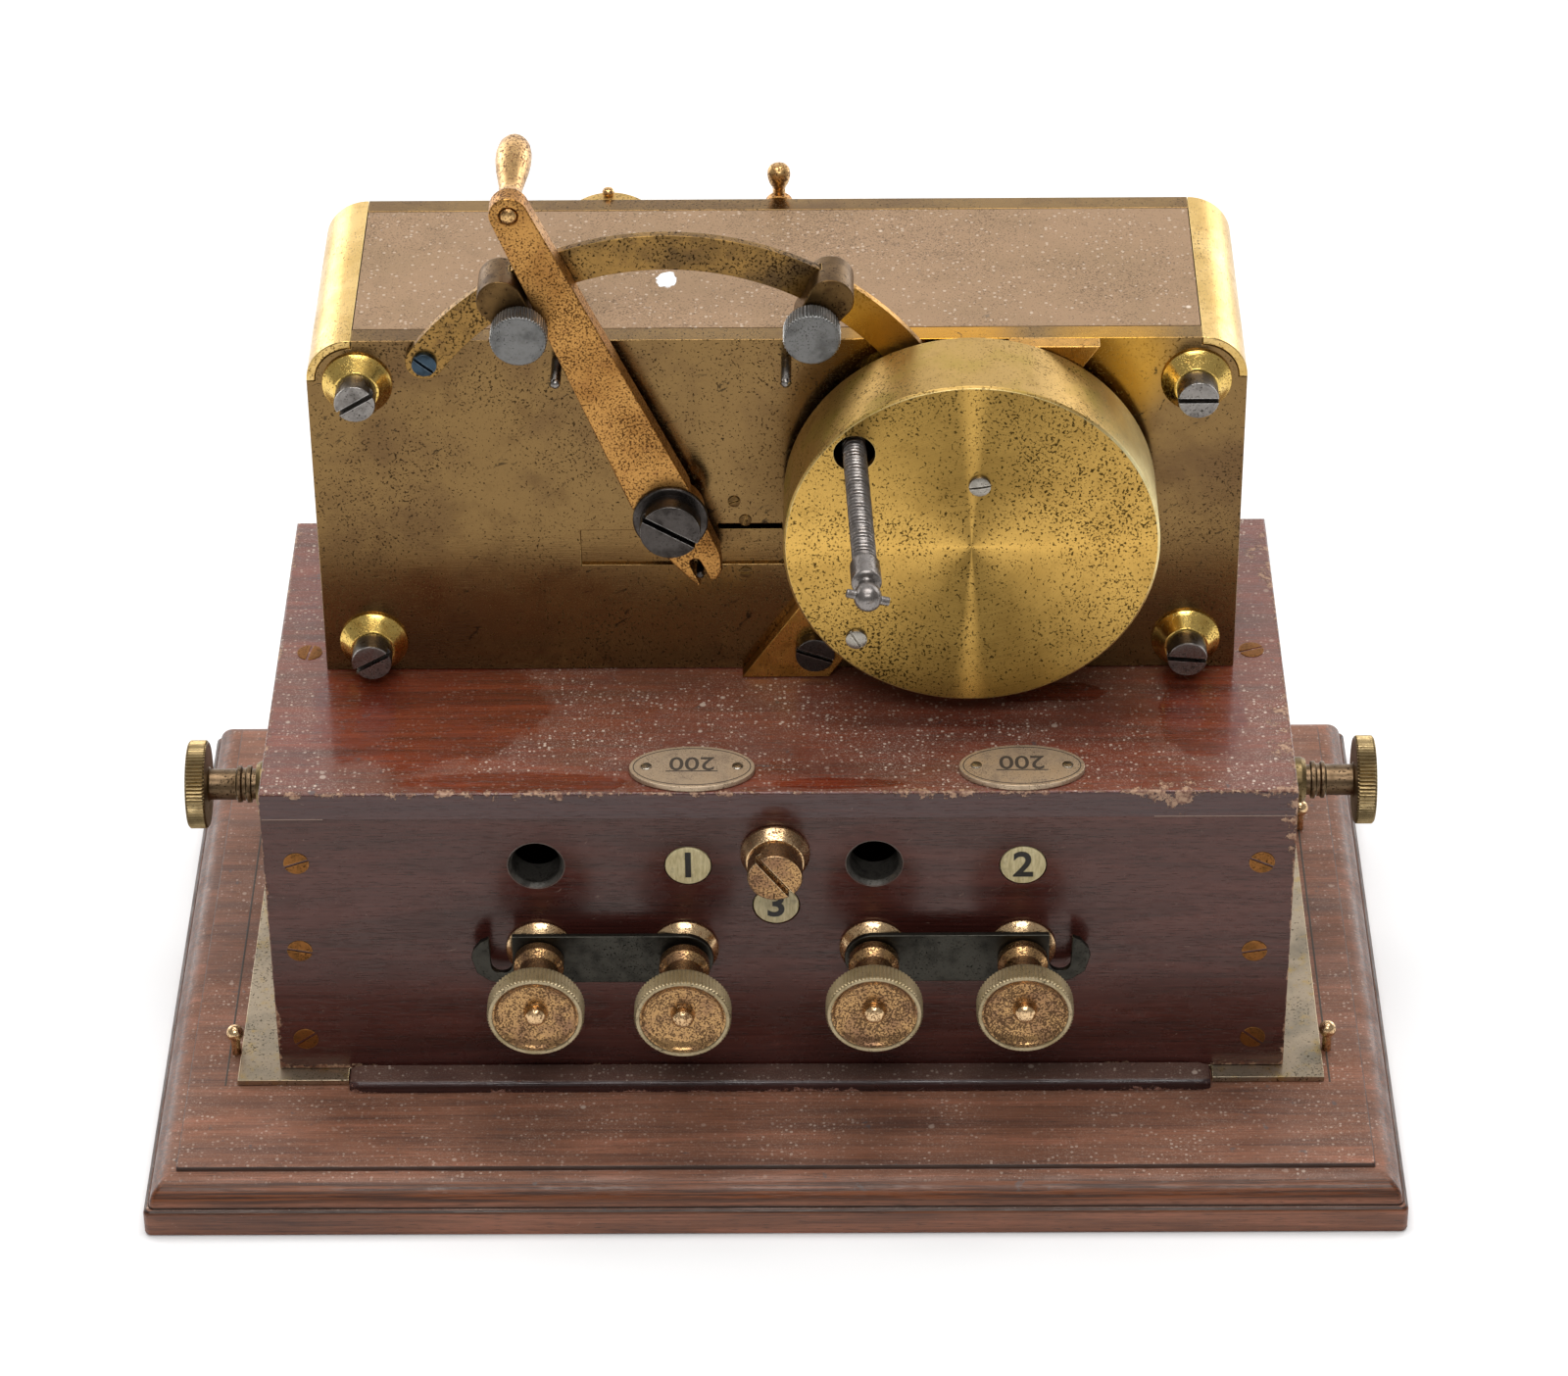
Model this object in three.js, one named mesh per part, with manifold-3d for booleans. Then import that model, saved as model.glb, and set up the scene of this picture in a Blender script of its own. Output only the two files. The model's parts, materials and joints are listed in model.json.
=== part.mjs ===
// Automatic Morse transmitter: mahogany base, mahogany terminal box, brass clockwork case on top.
// Millimetres. Origin under the middle of the base, +X along the length, -Y the terminal side, +Z up.
import * as THREE from 'three';
import { mergeVertices } from 'three/addons/utils/BufferGeometryUtils.js';
import Module from 'manifold-3d';

const wasm = await Module();
wasm.setup();

// ---- driving dimensions ------------------------------------------------------------------
const GAP = 0.2;                       // running gap between neighbouring pieces
const BASE = { w: 305, d: 195.4, h: 15, plinth: 7.4, inset: 7.9 };
const PLATE = { x0: -132.3, x1: 134.6, y0: -59.2, y1: 64, t: 1.55 };
const BOX = { cx: 1.3, w: 246.8, y0: -54.7, y1: 61.8, z0: 16.9, z1: 100.8, top: 7.4, front: 9, side: 11 };
const CASE = { cx: 1.5, w: 221.8, y0: -3.7, y1: 61.6, z1: 195.3, plate: 5.3, r: 10.9, skin: 2 };
const TERM = { x: [-56.7, -21.6, 24.0, 59.9], z: 54.4, cone: 8.2, head: 11.6, face: -81.8, out: [0, -1, 0.5, 0.5] };
const STRAP = { y: -58.1, t: 1.5, half: 7, hook: 16.4 };
const SIDE = { y: 2, z: 62, bush: 7.5, shank: 3.9, head: 11.1, in: 143.1, out: 148 };
const LEVER = { x: -24, z: 150.5, lean: 23.1, len: 90.3, y0: -11.8, t: 5.4, tail: 20.6 };
const ARC = { ro: 74.4, ri: 65.3, half: 54.8, y0: -6.1, t: 2.2 };
const CLAMP = { angle: 32.4, r0: 63.4, r1: 71.5, half: 5.45, small: 4.2, front: -12.2, rear: -0.7 };
const SLIDE = { z0: 131.4, z1: 141.4, x0: -50, x1: 28, win0: -46, travel: 13.6, pin: 15.9 };
const DRUM = { x: 47.2, z: 153.9, r: 44.3, y0: -29.7, y1: -8, wall: 2.4, hole: 4.9 };
const SHAFT = { r: 2.8, inner: 2, tilt: 2.7, y: 10, ball: -88.5, dir: [-0.746, 0.666] };
const GEAR = { centres: 39.4, pinion: 12, wheel: 36, face: 4 };
const CUP = { r: 8.3, top: 5.2, h: 4.1, x: 98.9, zu: 183.7, zl: 109.6 };
const BOX_X0 = BOX.cx - BOX.w / 2, BOX_X1 = BOX.cx + BOX.w / 2;
const CASE_X0 = CASE.cx - CASE.w / 2, CASE_X1 = CASE.cx + CASE.w / 2, CASE_Z0 = BOX.z1 + GAP;
const rad = Math.PI / 180;

// ---- finishes ----------------------------------------------------------------------------
const finish = (colour, roughness, metalness) => () =>
  new THREE.MeshStandardMaterial({ color: colour, roughness, metalness });
const mahogany = finish(0x6b3a2e, 0.5, 0), darkWood = finish(0x3a2426, 0.35, 0);
const brass = finish(0x8d7440, 0.35, 1), gold = finish(0xb8924a, 0.25, 1);
const bronze = finish(0x7c5c3c, 0.45, 1), steel = finish(0x55555a, 0.35, 1);
const nickel = finish(0x8c8c8c, 0.3, 1), ivory = finish(0xcfc5a4, 0.5, 0), blackened = finish(0x2c3531, 0.45, 1);

// ---- helpers -----------------------------------------------------------------------------
const group = new THREE.Group();
group.name = 'morse_transmitter';

function volume(g) {
  const p = g.attributes.position, ix = g.index;
  const n = ix ? ix.count : p.count, at = (k) => (ix ? ix.getX(k) : k);
  const a = new THREE.Vector3(), b = new THREE.Vector3(), c = new THREE.Vector3();
  let v = 0;
  for (let k = 0; k < n; k += 3) {
    a.fromBufferAttribute(p, at(k)); b.fromBufferAttribute(p, at(k + 1)); c.fromBufferAttribute(p, at(k + 2));
    v += a.dot(b.cross(c)) / 6;
  }
  return v;
}

function weld(g) {                     // one closed skin with its faces turned outward
  const s = g.clone();
  s.deleteAttribute('normal'); s.deleteAttribute('uv');
  const m = mergeVertices(s, 1e-4);
  const keep = [], ix = m.index;
  for (let k = 0; k < ix.count; k += 3) {
    const t = [ix.getX(k), ix.getX(k + 1), ix.getX(k + 2)];
    if (t[0] !== t[1] && t[1] !== t[2] && t[0] !== t[2]) keep.push(...t);
  }
  m.setIndex(keep);
  if (volume(m) < 0) {
    for (let k = 0; k < keep.length; k += 3) [keep[k], keep[k + 1]] = [keep[k + 1], keep[k]];
    m.setIndex(keep);
  }
  return m;
}

function solid(g) {
  const m = weld(g);
  return new wasm.Manifold(new wasm.Mesh({
    numProp: 3,
    vertProperties: new Float32Array(m.attributes.position.array),
    triVerts: new Uint32Array(m.index.array),
  }));
}

function surface(manifold) {
  const mesh = manifold.getMesh();
  const g = new THREE.BufferGeometry();
  const xyz = new Float32Array((mesh.vertProperties.length / mesh.numProp) * 3);
  for (let k = 0; k < xyz.length / 3; k++)
    for (let j = 0; j < 3; j++) xyz[3 * k + j] = mesh.vertProperties[k * mesh.numProp + j];
  g.setAttribute('position', new THREE.BufferAttribute(xyz, 3));
  g.setIndex(new THREE.BufferAttribute(new Uint32Array(mesh.triVerts), 1));
  return g;
}

const cut = (body, ...tools) => surface(tools.reduce((m, t) => m.subtract(solid(t)), solid(body)));
const join = (body, ...more) => surface(more.reduce((m, t) => m.add(solid(t)), solid(body)));

function add(name, geometry, paint) {
  const g = weld(geometry).toNonIndexed();
  g.computeVertexNormals();
  const mesh = new THREE.Mesh(g, paint());
  mesh.name = name;
  group.add(mesh);
}

const block = (x0, x1, y0, y1, z0, z1) => new THREE.BoxGeometry(x1 - x0, y1 - y0, z1 - z0)
  .translate((x0 + x1) / 2, (y0 + y1) / 2, (z0 + z1) / 2);

// turned pieces: profile is a list of [radius, station along the axis]
const turned = (profile, seg = 24) =>
  new THREE.LatheGeometry(profile.map(([r, s]) => new THREE.Vector2(r, s)), seg);
const turnedY = (profile, x, z, seg) => turned(profile, seg).translate(x, 0, z);
const turnedZ = (profile, x, y, seg) => turned(profile, seg).rotateX(Math.PI / 2).translate(x, y, 0);
const turnedX = (profile, side, y, z, seg) =>
  turned(profile, seg).rotateZ(-side * Math.PI / 2).translate(BOX.cx, y, z);
const rod = (r, y0, y1, x, z, seg = 20) => turnedY([[0, y0], [r, y0], [r, y1], [0, y1]], x, z, seg);

function arc(cx, cz, r, a0, a1, n) {
  const pts = [];
  for (let k = 0; k <= n; k++) {
    const a = (a0 + (a1 - a0) * k / n) * rad;
    pts.push([cx + r * Math.cos(a), cz + r * Math.sin(a)]);
  }
  return pts;
}

// flat pieces: outline in X and Z, thickness along Y
function flat(outline, y0, y1) {
  const shape = new THREE.Shape(outline.map(([x, z]) => new THREE.Vector2(x, z)));
  return new THREE.ExtrudeGeometry(shape, { depth: y1 - y0, bevelEnabled: false, steps: 1 })
    .rotateX(Math.PI / 2).translate(0, y1, 0);
}

const lying = (outline, z0, z1) => new THREE.ExtrudeGeometry(
  new THREE.Shape(outline.map(([x, y]) => new THREE.Vector2(x, y))),
  { depth: z1 - z0, bevelEnabled: false }).translate(0, 0, z0);

// a slot across the end of a screw, turned by angle about the screw's axis
function slot(x, z, y0, depth, width, length, angle) {
  return new THREE.BoxGeometry(length, depth * 2, width).rotateY(-angle * rad).translate(x, y0, z);
}

// ---- base --------------------------------------------------------------------------------
function moulded(levels, corner) {     // rounded rectangles stacked up the moulding
  const n = 4, ring = 4 * (n + 1), xyz = [], tri = [];
  for (const [inset, z] of levels) {
    const hx = BASE.w / 2 - inset - corner, hy = BASE.d / 2 - inset - corner;
    [[1, 1, 0], [-1, 1, 90], [-1, -1, 180], [1, -1, 270]].forEach(([sx, sy, a]) => {
      arc(sx * hx, sy * hy, corner, a, a + 90, n).forEach(([x, y]) => xyz.push(x, y, z));
    });
  }
  for (let l = 0; l + 1 < levels.length; l++)
    for (let k = 0; k < ring; k++) {
      const a = l * ring + k, b = l * ring + (k + 1) % ring;
      tri.push(a, b, b + ring, a, b + ring, a + ring);
    }
  const top = (levels.length - 1) * ring;
  for (let k = 1; k + 1 < ring; k++) {
    tri.push(0, k + 1, k);
    tri.push(top, top + k, top + k + 1);
  }
  const g = new THREE.BufferGeometry();
  g.setAttribute('position', new THREE.Float32BufferAttribute(xyz, 3));
  g.setIndex(tri);
  return g;
}
const ovolo = [];
for (let k = 0; k <= 6; k++)
  ovolo.push([7.3 - 6.5 * Math.cos(15 * k * rad), BASE.plinth + 0.2 + 6.5 * Math.sin(15 * k * rad)]);
add('base_board', moulded([[0.5, 0], [0, 0.5], [0, BASE.plinth - 0.4], [0.4, BASE.plinth], ...ovolo,
  [BASE.inset, 14.1], [BASE.inset, BASE.h - 0.2], [BASE.inset + 0.2, BASE.h]], 1.6), mahogany);

const deck = BASE.h + 0.15;
add('base_plate', cut(block(PLATE.x0, PLATE.x1, PLATE.y0, PLATE.y1, deck, deck + PLATE.t),
  block(-105, 107.2, PLATE.y0 - 1, -54.6, deck - 1, deck + 3)), brass);

const barProfile = [[-55, deck], [-62.3, deck], [-62.3, deck + 1.9],
  ...arc(-59.9, deck + 1.9, 2.4, 180, 100, 4), [-55, deck + 4.3]];
add('stop_bar', new THREE.ExtrudeGeometry(new THREE.Shape(barProfile.map(([y, z]) => new THREE.Vector2(y, z))),
  { depth: 211.2, bevelEnabled: false })
  .applyMatrix4(new THREE.Matrix4().makeBasis(new THREE.Vector3(0, 1, 0), new THREE.Vector3(0, 0, 1),
    new THREE.Vector3(1, 0, 0))).translate(-104.6, 0, 0), darkWood);

[[-133.7, -46.6], [136.1, -46.6], [-133.7, 44.2], [136.1, 44.2]].forEach(([x, y], k) => {
  const ball = arc(0, 21.5, 2.15, -55, 90, 7).map(([r, z]) => [Math.max(r, 0), z]);
  add(`plate_pin_${k + 1}`, turnedZ([[0, deck], [1.15, deck], ...ball.slice(0, -1), [0, 23.65]], x, y, 16), gold);
});

// ---- box ---------------------------------------------------------------------------------
const frontTop = BOX.z1 - BOX.top - GAP;
const boardCuts = [rod(6, BOX.y0 - 1, BOX.y0 + 20, -56.8, 79.3, 28), rod(6, BOX.y0 - 1, BOX.y0 + 20, 24.2, 79.6, 28)];
TERM.x.forEach((x) => boardCuts.push(rod(2.8, BOX.y0 - 1, BOX.y0 + 7, x, TERM.z, 16)));
boardCuts.push(rod(2.8, BOX.y0 - 1, BOX.y0 + 7, 0.5, 83, 16));
const discs = [[-20.4, 79.1], [59.8, 78.9], [0.6, 67.1]];
discs.forEach(([x, z]) => boardCuts.push(rod(5.8, BOX.y0 - 1, BOX.y0 + 1.2, x, z, 24)));
add('box_front', cut(block(BOX_X0, BOX_X1, BOX.y0, BOX.y0 + BOX.front, BOX.z0, frontTop), ...boardCuts), darkWood);
add('box_back', block(BOX_X0, BOX_X1, BOX.y1 - BOX.front, BOX.y1, BOX.z0, frontTop), darkWood);
add('box_top', block(BOX_X0, BOX_X1, BOX.y0, BOX.y1, BOX.z1 - BOX.top, BOX.z1), mahogany);
const sideBoard = (s) => {
  const a = BOX.cx + s * BOX.w / 2, b = a - s * BOX.side;
  const hole = turnedX([[0, 100], [4.2, 100], [4.2, 130], [0, 130]], s, SIDE.y, SIDE.z, 20);
  return cut(block(Math.min(a, b), Math.max(a, b), BOX.y0 + BOX.front + GAP, BOX.y1 - BOX.front - GAP,
    BOX.z0, frontTop), hole);
};
add('box_side_left', sideBoard(-1), darkWood);
add('box_side_right', sideBoard(1), darkWood);

discs.forEach(([x, z], k) => add(`label_disc_${k + 1}`, rod(5.55, BOX.y0 - 0.15, BOX.y0 + 1, x, z, 24), ivory));
const oval = (x) => {
  const e = [];
  for (let k = 0; k < 32; k++)
    e.push([x + 15 * Math.cos(k * Math.PI / 16), -46.1 + 8.3 * Math.sin(k * Math.PI / 16)]);
  return lying(e, BOX.z1 + 0.1, BOX.z1 + 1.5);
};
add('oval_plate_left', oval(-19.2), brass);
add('oval_plate_right', oval(59.4), brass);

add('centre_screw', cut(turnedY([[0, BOX.y0 + 5], [2.5, BOX.y0 + 5], [2.5, BOX.y0 - 0.15], [8.3, BOX.y0 - 0.15],
  [8.3, BOX.y0 - 0.8], [6.9, -58.9], [6.6, -59.1], [6.6, -64.5], [6.1, -65], [0, -65]], 0.5, 83, 28),
slot(0.5, 83, -65, 1.7, 1.4, 20, -53)), gold);

// ---- terminals and link straps -----------------------------------------------------------
TERM.x.forEach((x, k) => {
  const y = BOX.y0 - 0.15, o = TERM.out[k], f = TERM.face + o;
  add(`terminal_post_${k + 1}`, turnedY([[0, -49.5], [2.5, -49.5], [2.5, y], [TERM.cone, y], [TERM.cone, y - 0.6],
    [5.4, STRAP.y + GAP], [2.9, STRAP.y + GAP], [2.9, -73], [0, -73]], x, TERM.z, 24), gold);
  const c = STRAP.y - STRAP.t - GAP + Math.min(o, 0);
  add(`terminal_nut_${k + 1}`, turnedY([[0, -74.5], [3.2, -74.5], [3.2, c], [5.7, c], [6.1, c - 0.4], [6.1, c - 3.3],
    [4.9, c - 3.8], [4.5, c - 5], [4.5, f + 7.6], [5.4, f + 5.6], [11.1, f + 5.5], [TERM.head, f + 5],
    [TERM.head, f + 0.5], [11.1, f], [10.2, f], [7.5, f + 1.7], [4.6, f + 2.1], [2.8, f + 1.2], [2.2, f + 0.4],
    [0, f + 0.2]], x, TERM.z, 32), gold);
});

function strap(pivot, outer) {         // swings about the inner terminal, hooked end beyond the outer one
  const s = Math.sign(outer - pivot), d = Math.abs(outer - pivot), h = STRAP.half;
  const path = [
    ...arc(0, 0, h, -90, -270, 10), [d + 6.4, h], [d + 6.4, -1],
    ...arc(d + 9.1, -1.4, 2.6, 180, 360, 6), [d + 11.9, h - 0.6], [d + 14, h - 1.6],
    [d + STRAP.hook - 0.6, h - 4], [d + STRAP.hook, h - 7], [d + STRAP.hook - 1.2, -h + 3],
    [d + STRAP.hook - 4.2, -h + 0.6], [d + STRAP.hook - 6, -h], [d + 3.3, -h],
    ...arc(d - 0.3, 0, 3.6, 0, 180, 8), [d - 4.2, -h],
  ];
  const g = cut(flat(path.map(([x, z]) => [pivot + s * x, TERM.z + z]).reverse(), STRAP.y - STRAP.t, STRAP.y),
    rod(3.25, STRAP.y - 5, STRAP.y + 5, pivot, TERM.z, 20));
  return g;
}
add('link_strap_left', strap(TERM.x[1], TERM.x[0]), blackened);
add('link_strap_right', strap(TERM.x[2], TERM.x[3]), blackened);

// ---- knurled screws in the box ends ------------------------------------------------------
[['left', -1], ['right', 1]].forEach(([side, s]) => {
  const face = BOX.w / 2 + 0.1;
  add(`side_bush_${side}`, turnedX([[4.2, face], [5.8, face], [5.8, face + SIDE.bush - 0.4],
    [5.4, face + SIDE.bush], [4.2, face + SIDE.bush], [4.2, face]], s, SIDE.y, SIDE.z, 24), brass);
  add(`side_screw_${side}`, turnedX([[0, 108], [SIDE.shank, 108], [SIDE.shank, SIDE.in - 0.3], [4.4, SIDE.in],
    [10.6, SIDE.in], [SIDE.head, SIDE.in + 0.5], [SIDE.head, SIDE.out - 0.5], [10.6, SIDE.out],
    [0, SIDE.out]], s, SIDE.y, SIDE.z, 32), brass);
});

// ---- clockwork case ----------------------------------------------------------------------
function endPlate(y0, y1) {            // top corners rebated for the wrapped corner covers
  const R = CASE.r, r = R - CASE.skin - GAP, zc = CASE.z1 - R;
  return flat([[CASE_X0, CASE_Z0], [CASE_X1, CASE_Z0], [CASE_X1, zc - GAP], [CASE_X1 - R + r, zc - GAP],
    ...arc(CASE_X1 - R, zc, r, 0, 90, 6), [CASE_X1 - R - GAP, zc + r], [CASE_X1 - R - GAP, CASE.z1],
    [CASE_X0 + R + GAP, CASE.z1], [CASE_X0 + R + GAP, zc + r], ...arc(CASE_X0 + R, zc, r, 90, 180, 6),
    [CASE_X0 + R - r, zc - GAP], [CASE_X0, zc - GAP]], y0, y1);
}
const F = CASE.y0, cups = [[-1, CUP.zu], [1, CUP.zu], [-1, CUP.zl], [1, CUP.zl]].map(([s, z]) => [CASE.cx + s * CUP.x, z]);
let frontBody = endPlate(F, F + CASE.plate);
frontBody = join(frontBody, ...cups.map(([x, z]) => turnedY([[0, F + 1], [CUP.r, F + 1], [CUP.r, F - 0.5],
  [CUP.top, F - CUP.h], [0, F - CUP.h]], x, z, 28)));
add('front_plate', cut(frontBody,
  ...cups.map(([x, z]) => rod(2.7, F - 10, F + 20, x, z, 16)),
  rod(3.4, F - 10, F + 20, LEVER.x, LEVER.z), rod(3.4, F - 10, F + 20, DRUM.x, DRUM.z),
  rod(3, F - 10, F + 20, 18.45, 180.1),
  rod(1.5, F - 5, F + 3, -50.1, 189.5, 12), rod(1.5, F - 5, F + 3, 3.8, 189.5, 12),
  block(SLIDE.x0 - SLIDE.travel - 0.8, SLIDE.x1 + 4, F + 0.7, F + 2.7, SLIDE.z0 - GAP, SLIDE.z1 + GAP),
  block(SLIDE.win0, SLIDE.x1 + 2, F - 1, F + 1, SLIDE.z0 - GAP, SLIDE.z1 + GAP),
  block(-12.9, 2.4, F - 1, F + 2.7, SLIDE.z1, SLIDE.z1 + 2)), brass);

const B = CASE.y1;
add('back_plate', cut(join(endPlate(B - CASE.plate, B), rod(15.7, B - 1, B + 4, -39.5, 181, 36),
  turnedZ([[0, 195.5], [0.9, 195.5], [0.9, 196.6], [1.4, 197.2], [1.4, 197.8], [0.8, 198.6], [0, 198.7]],
    -40, B + 2.2, 12)), rod(2.4, B - 10, B + 10, 1.8, 160, 16)), brass);

const inner0 = F + CASE.plate + GAP, inner1 = B - CASE.plate - GAP, seam = CASE.r + GAP;
add('top_cover', block(CASE_X0 + seam, CASE_X1 - seam, inner0, inner1, CASE.z1 - CASE.skin, CASE.z1), bronze);
[['left', CASE_X0, 1], ['right', CASE_X1, -1]].forEach(([side, x, s]) => {
  const c = x + s * CASE.r, zc = CASE.z1 - CASE.r;
  const a0 = s > 0 ? 90 : 0;
  add(`corner_cover_${side}`, flat([...arc(c, zc, CASE.r, a0, a0 + 90, 8),
    ...arc(c, zc, CASE.r - CASE.skin, a0 + 90, a0, 8)], F, B), gold);
  const xs = [x, x + s * CASE.skin].sort((p, q) => p - q);
  add(`end_cover_${side}`, block(xs[0], xs[1], inner0, inner1, CASE_Z0, zc - GAP), gold);
});

cups.forEach(([x, z], k) => {
  const y = F - CUP.h - GAP;
  add(`corner_screw_${k + 1}`, cut(turnedY([[0, F + 5], [2.4, F + 5], [2.4, y], [4.85, y], [4.85, y - 4.9],
    [4.5, y - 5.3], [0, y - 5.3]], x, z, 24), slot(x, z, y - 5.3, 1.5, 1.3, 20, [32, 0, 30, -5][k])), steel);
});

// ---- speed lever, its pivot and its quadrant ---------------------------------------------
const hang = (g, angle) => g.rotateY(angle * rad).translate(LEVER.x, 0, LEVER.z);
const L = LEVER;
const leverOutline = [
  ...arc(0, L.len, 4.6, 0, 180, 10), [-7.4, 6], ...arc(0, 0, 8, 150, 205, 4), [-5.4, -11], [-2.1, -L.tail],
  [-1.3, -L.tail], [-1.3, -14.4], ...arc(0, -14.4, 1.3, 180, 0, 4).slice(1, -1), [1.3, -14.4], [1.3, -L.tail + 0.6],
  [2.8, -L.tail], [5.2, -L.tail + 2], [6.6, -14], ...arc(0, 0, 8, -30, 30, 4), [7.4, 6]];
add('speed_lever', hang(cut(flat(leverOutline, L.y0, L.y0 + L.t), rod(3.3, -20, 5, 0, 0),
  rod(2.2, -20, 5, 0, L.len, 16)), -L.lean), bronze);
const b = L.y0 + L.t;
add('lever_handle', hang(turnedY([[0, L.y0 - 0.7], [1.3, L.y0 - 0.5], [2, L.y0], [2, b + 0.1], [3.7, b + 0.1], [3.8, b + 1.6],
  [2.7, b + 3.4], [2.9, b + 7], [3.5, b + 12], [4.1, b + 17], [4.3, b + 21], [4.0, b + 25], [3, b + 28],
  [1.6, b + 29.4], [0, b + 29.8]], 0, L.len, 20), -L.lean), gold);
const w = L.y0 - 0.15;
add('pivot_screw', cut(turnedY([[0, F + 4], [2.9, F + 4], [2.9, w], [9, w], [9, w - 0.7], [8.7, w - 1], [7.3, w - 1],
  [7.3, w - 5.8], [6.9, w - 6.3], [0, w - 6.3]], L.x, L.z, 32), slot(L.x, L.z, w - 6.3, 1.2, 1.3, 30, -31)), steel);

const mid = (ARC.ro + ARC.ri) / 2, endR = (ARC.ro - ARC.ri) / 2;
const rim = (r, a) => [r * Math.sin(a * rad), r * Math.cos(a * rad)];
const quadrant = [];
for (let k = 0; k <= 24; k++) quadrant.push(rim(ARC.ro, -ARC.half + 2 * ARC.half * k / 24));
const foot = (a, dir) => {
  const [cx, cz] = rim(mid, a), pts = [];
  for (let k = 1; k < 6; k++) {
    const q = (90 - a - dir * 180 * k / 6) * rad;
    pts.push([cx + endR * Math.cos(q), cz + endR * Math.sin(q)]);
  }
  return pts;
};
quadrant.push(...foot(ARC.half, 1));
for (let k = 24; k >= 0; k--) quadrant.push(rim(ARC.ri, -ARC.half + 2 * ARC.half * k / 24));
quadrant.push(...foot(-ARC.half, -1).reverse());
add('arc_strip', flat(quadrant.reverse(), ARC.y0, ARC.y0 + ARC.t).translate(L.x, 0, L.z), bronze);
const [fx, fz] = rim(mid, -ARC.half);
add('arc_screw', cut(turnedY([[0, -7.6], [2.7, -7.6], [3, -7.3], [3, -6.2], [0, -6.2]], L.x + fx, L.z + fz, 20),
  slot(L.x + fx, L.z + fz, -7.6, 0.8, 0.8, 12, -40)), steel);

const stadium = [...arc(0, CLAMP.r1, CLAMP.half, 0, 180, 10), ...arc(0, CLAMP.r0, CLAMP.small, 180, 360, 10)];
const sector = (r0, r1, y0, y1) => flat([...arc(0, 0, r1, 70, 110, 12), ...arc(0, 0, r0, 110, 70, 12)], y0, y1);
[['left', -1], ['right', 1]].forEach(([side, s]) => {
  const body = cut(flat(stadium, CLAMP.front, CLAMP.rear),
    sector(ARC.ri - 0.3, ARC.ro + 0.3, ARC.y0 - 0.3, ARC.y0 + ARC.t + 0.3),
    block(-9, 9, ARC.y0 + ARC.t - 0.3, 3, 50, 66.3),
    rod(1.8, CLAMP.front - 1, -6.9, 0, CLAMP.r0, 14));
  add(`clamp_${side}`, hang(body, s * CLAMP.angle), bronze);
  add(`clamp_screw_${side}`, hang(turnedY([[0, -7.1], [1.5, -7.1], [1.5, -12.9], [6.3, -12.9], [6.75, -13.4],
    [6.75, -18], [6.3, -18.5], [0, -18.5]], 0, CLAMP.r0, 28), s * CLAMP.angle), nickel);
});

add('slide_bar', join(block(SLIDE.x0, SLIDE.x1, F + 0.9, F + 2.5, SLIDE.z0, SLIDE.z1),
  rod(0.95, -13, F + 2, L.x + SLIDE.pin * Math.tan(L.lean * rad), L.z - SLIDE.pin, 12)), brass);
[['left', -50.1], ['right', 3.8]].forEach(([side, x]) => add(`stop_pin_${side}`,
  turnedY([[0, F + 2], [1.25, F + 2], [1.25, -13.4], [0.9, -14.2], [0, -14.6]], x, 189.5, 14), steel));

// ---- drum, its carrier bar, wheel work and drive shaft -----------------------------------
const D = DRUM, lean = (CASE.z1 - CASE_Z0) / 94.5 * 63.9;
add('drum_bar', cut(join(flat([[-7.6, CASE_Z0], [13.5, CASE_Z0], [13.5 + lean, CASE.z1], [-7.6 + lean, CASE.z1]],
  -7.7, -3.9), rod(7.5, -7.7, -3.9, D.x, D.z, 28)), rod(3.4, -12, 0, D.x, D.z)), gold);
const px = D.x + GEAR.centres * SHAFT.dir[0], pz = D.z + GEAR.centres * SHAFT.dir[1];
const hx = px + (SHAFT.y - D.y0) * Math.tan(SHAFT.tilt * rad);
add('drum_cover', cut(turnedY([[0, D.y0], [D.r - 0.6, D.y0], [D.r, D.y0 + 0.6], [D.r, D.y1], [D.r - D.wall, D.y1],
  [D.r - D.wall, D.y0 + 2], [0, D.y0 + 2]], D.x, D.z, 64), rod(D.hole, D.y0 - 2, D.y0 + 5, hx, pz, 28)), gold);

function gear(teeth, r, y0, y1, phase) {
  const m = 2 * r / teeth, pts = [];
  for (let k = 0; k < teeth; k++) {
    const p = 360 / teeth, a = phase + k * p;
    [[-0.27, -1.15], [-0.12, 0.85], [0.12, 0.85], [0.27, -1.15]].forEach(([f, e]) => {
      const q = (a + f * p) * rad;
      pts.push([(r + e * m) * Math.cos(q), (r + e * m) * Math.sin(q)]);
    });
  }
  return flat(pts, y0, y1);
}
const share = GEAR.centres / (GEAR.pinion + GEAR.wheel), toPinion = Math.atan2(pz - D.z, px - D.x) / rad;
add('drum_wheel', join(gear(GEAR.wheel, share * GEAR.wheel, 8, 8 + GEAR.face, toPinion).translate(D.x, 0, D.z),
  turnedY([[0, -26], [2.6, -26], [2.6, -22], [18, -22], [18, -19], [2.6, -19], [2.6, 45], [0, 45]],
    D.x, D.z, 28)), brass);

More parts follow.
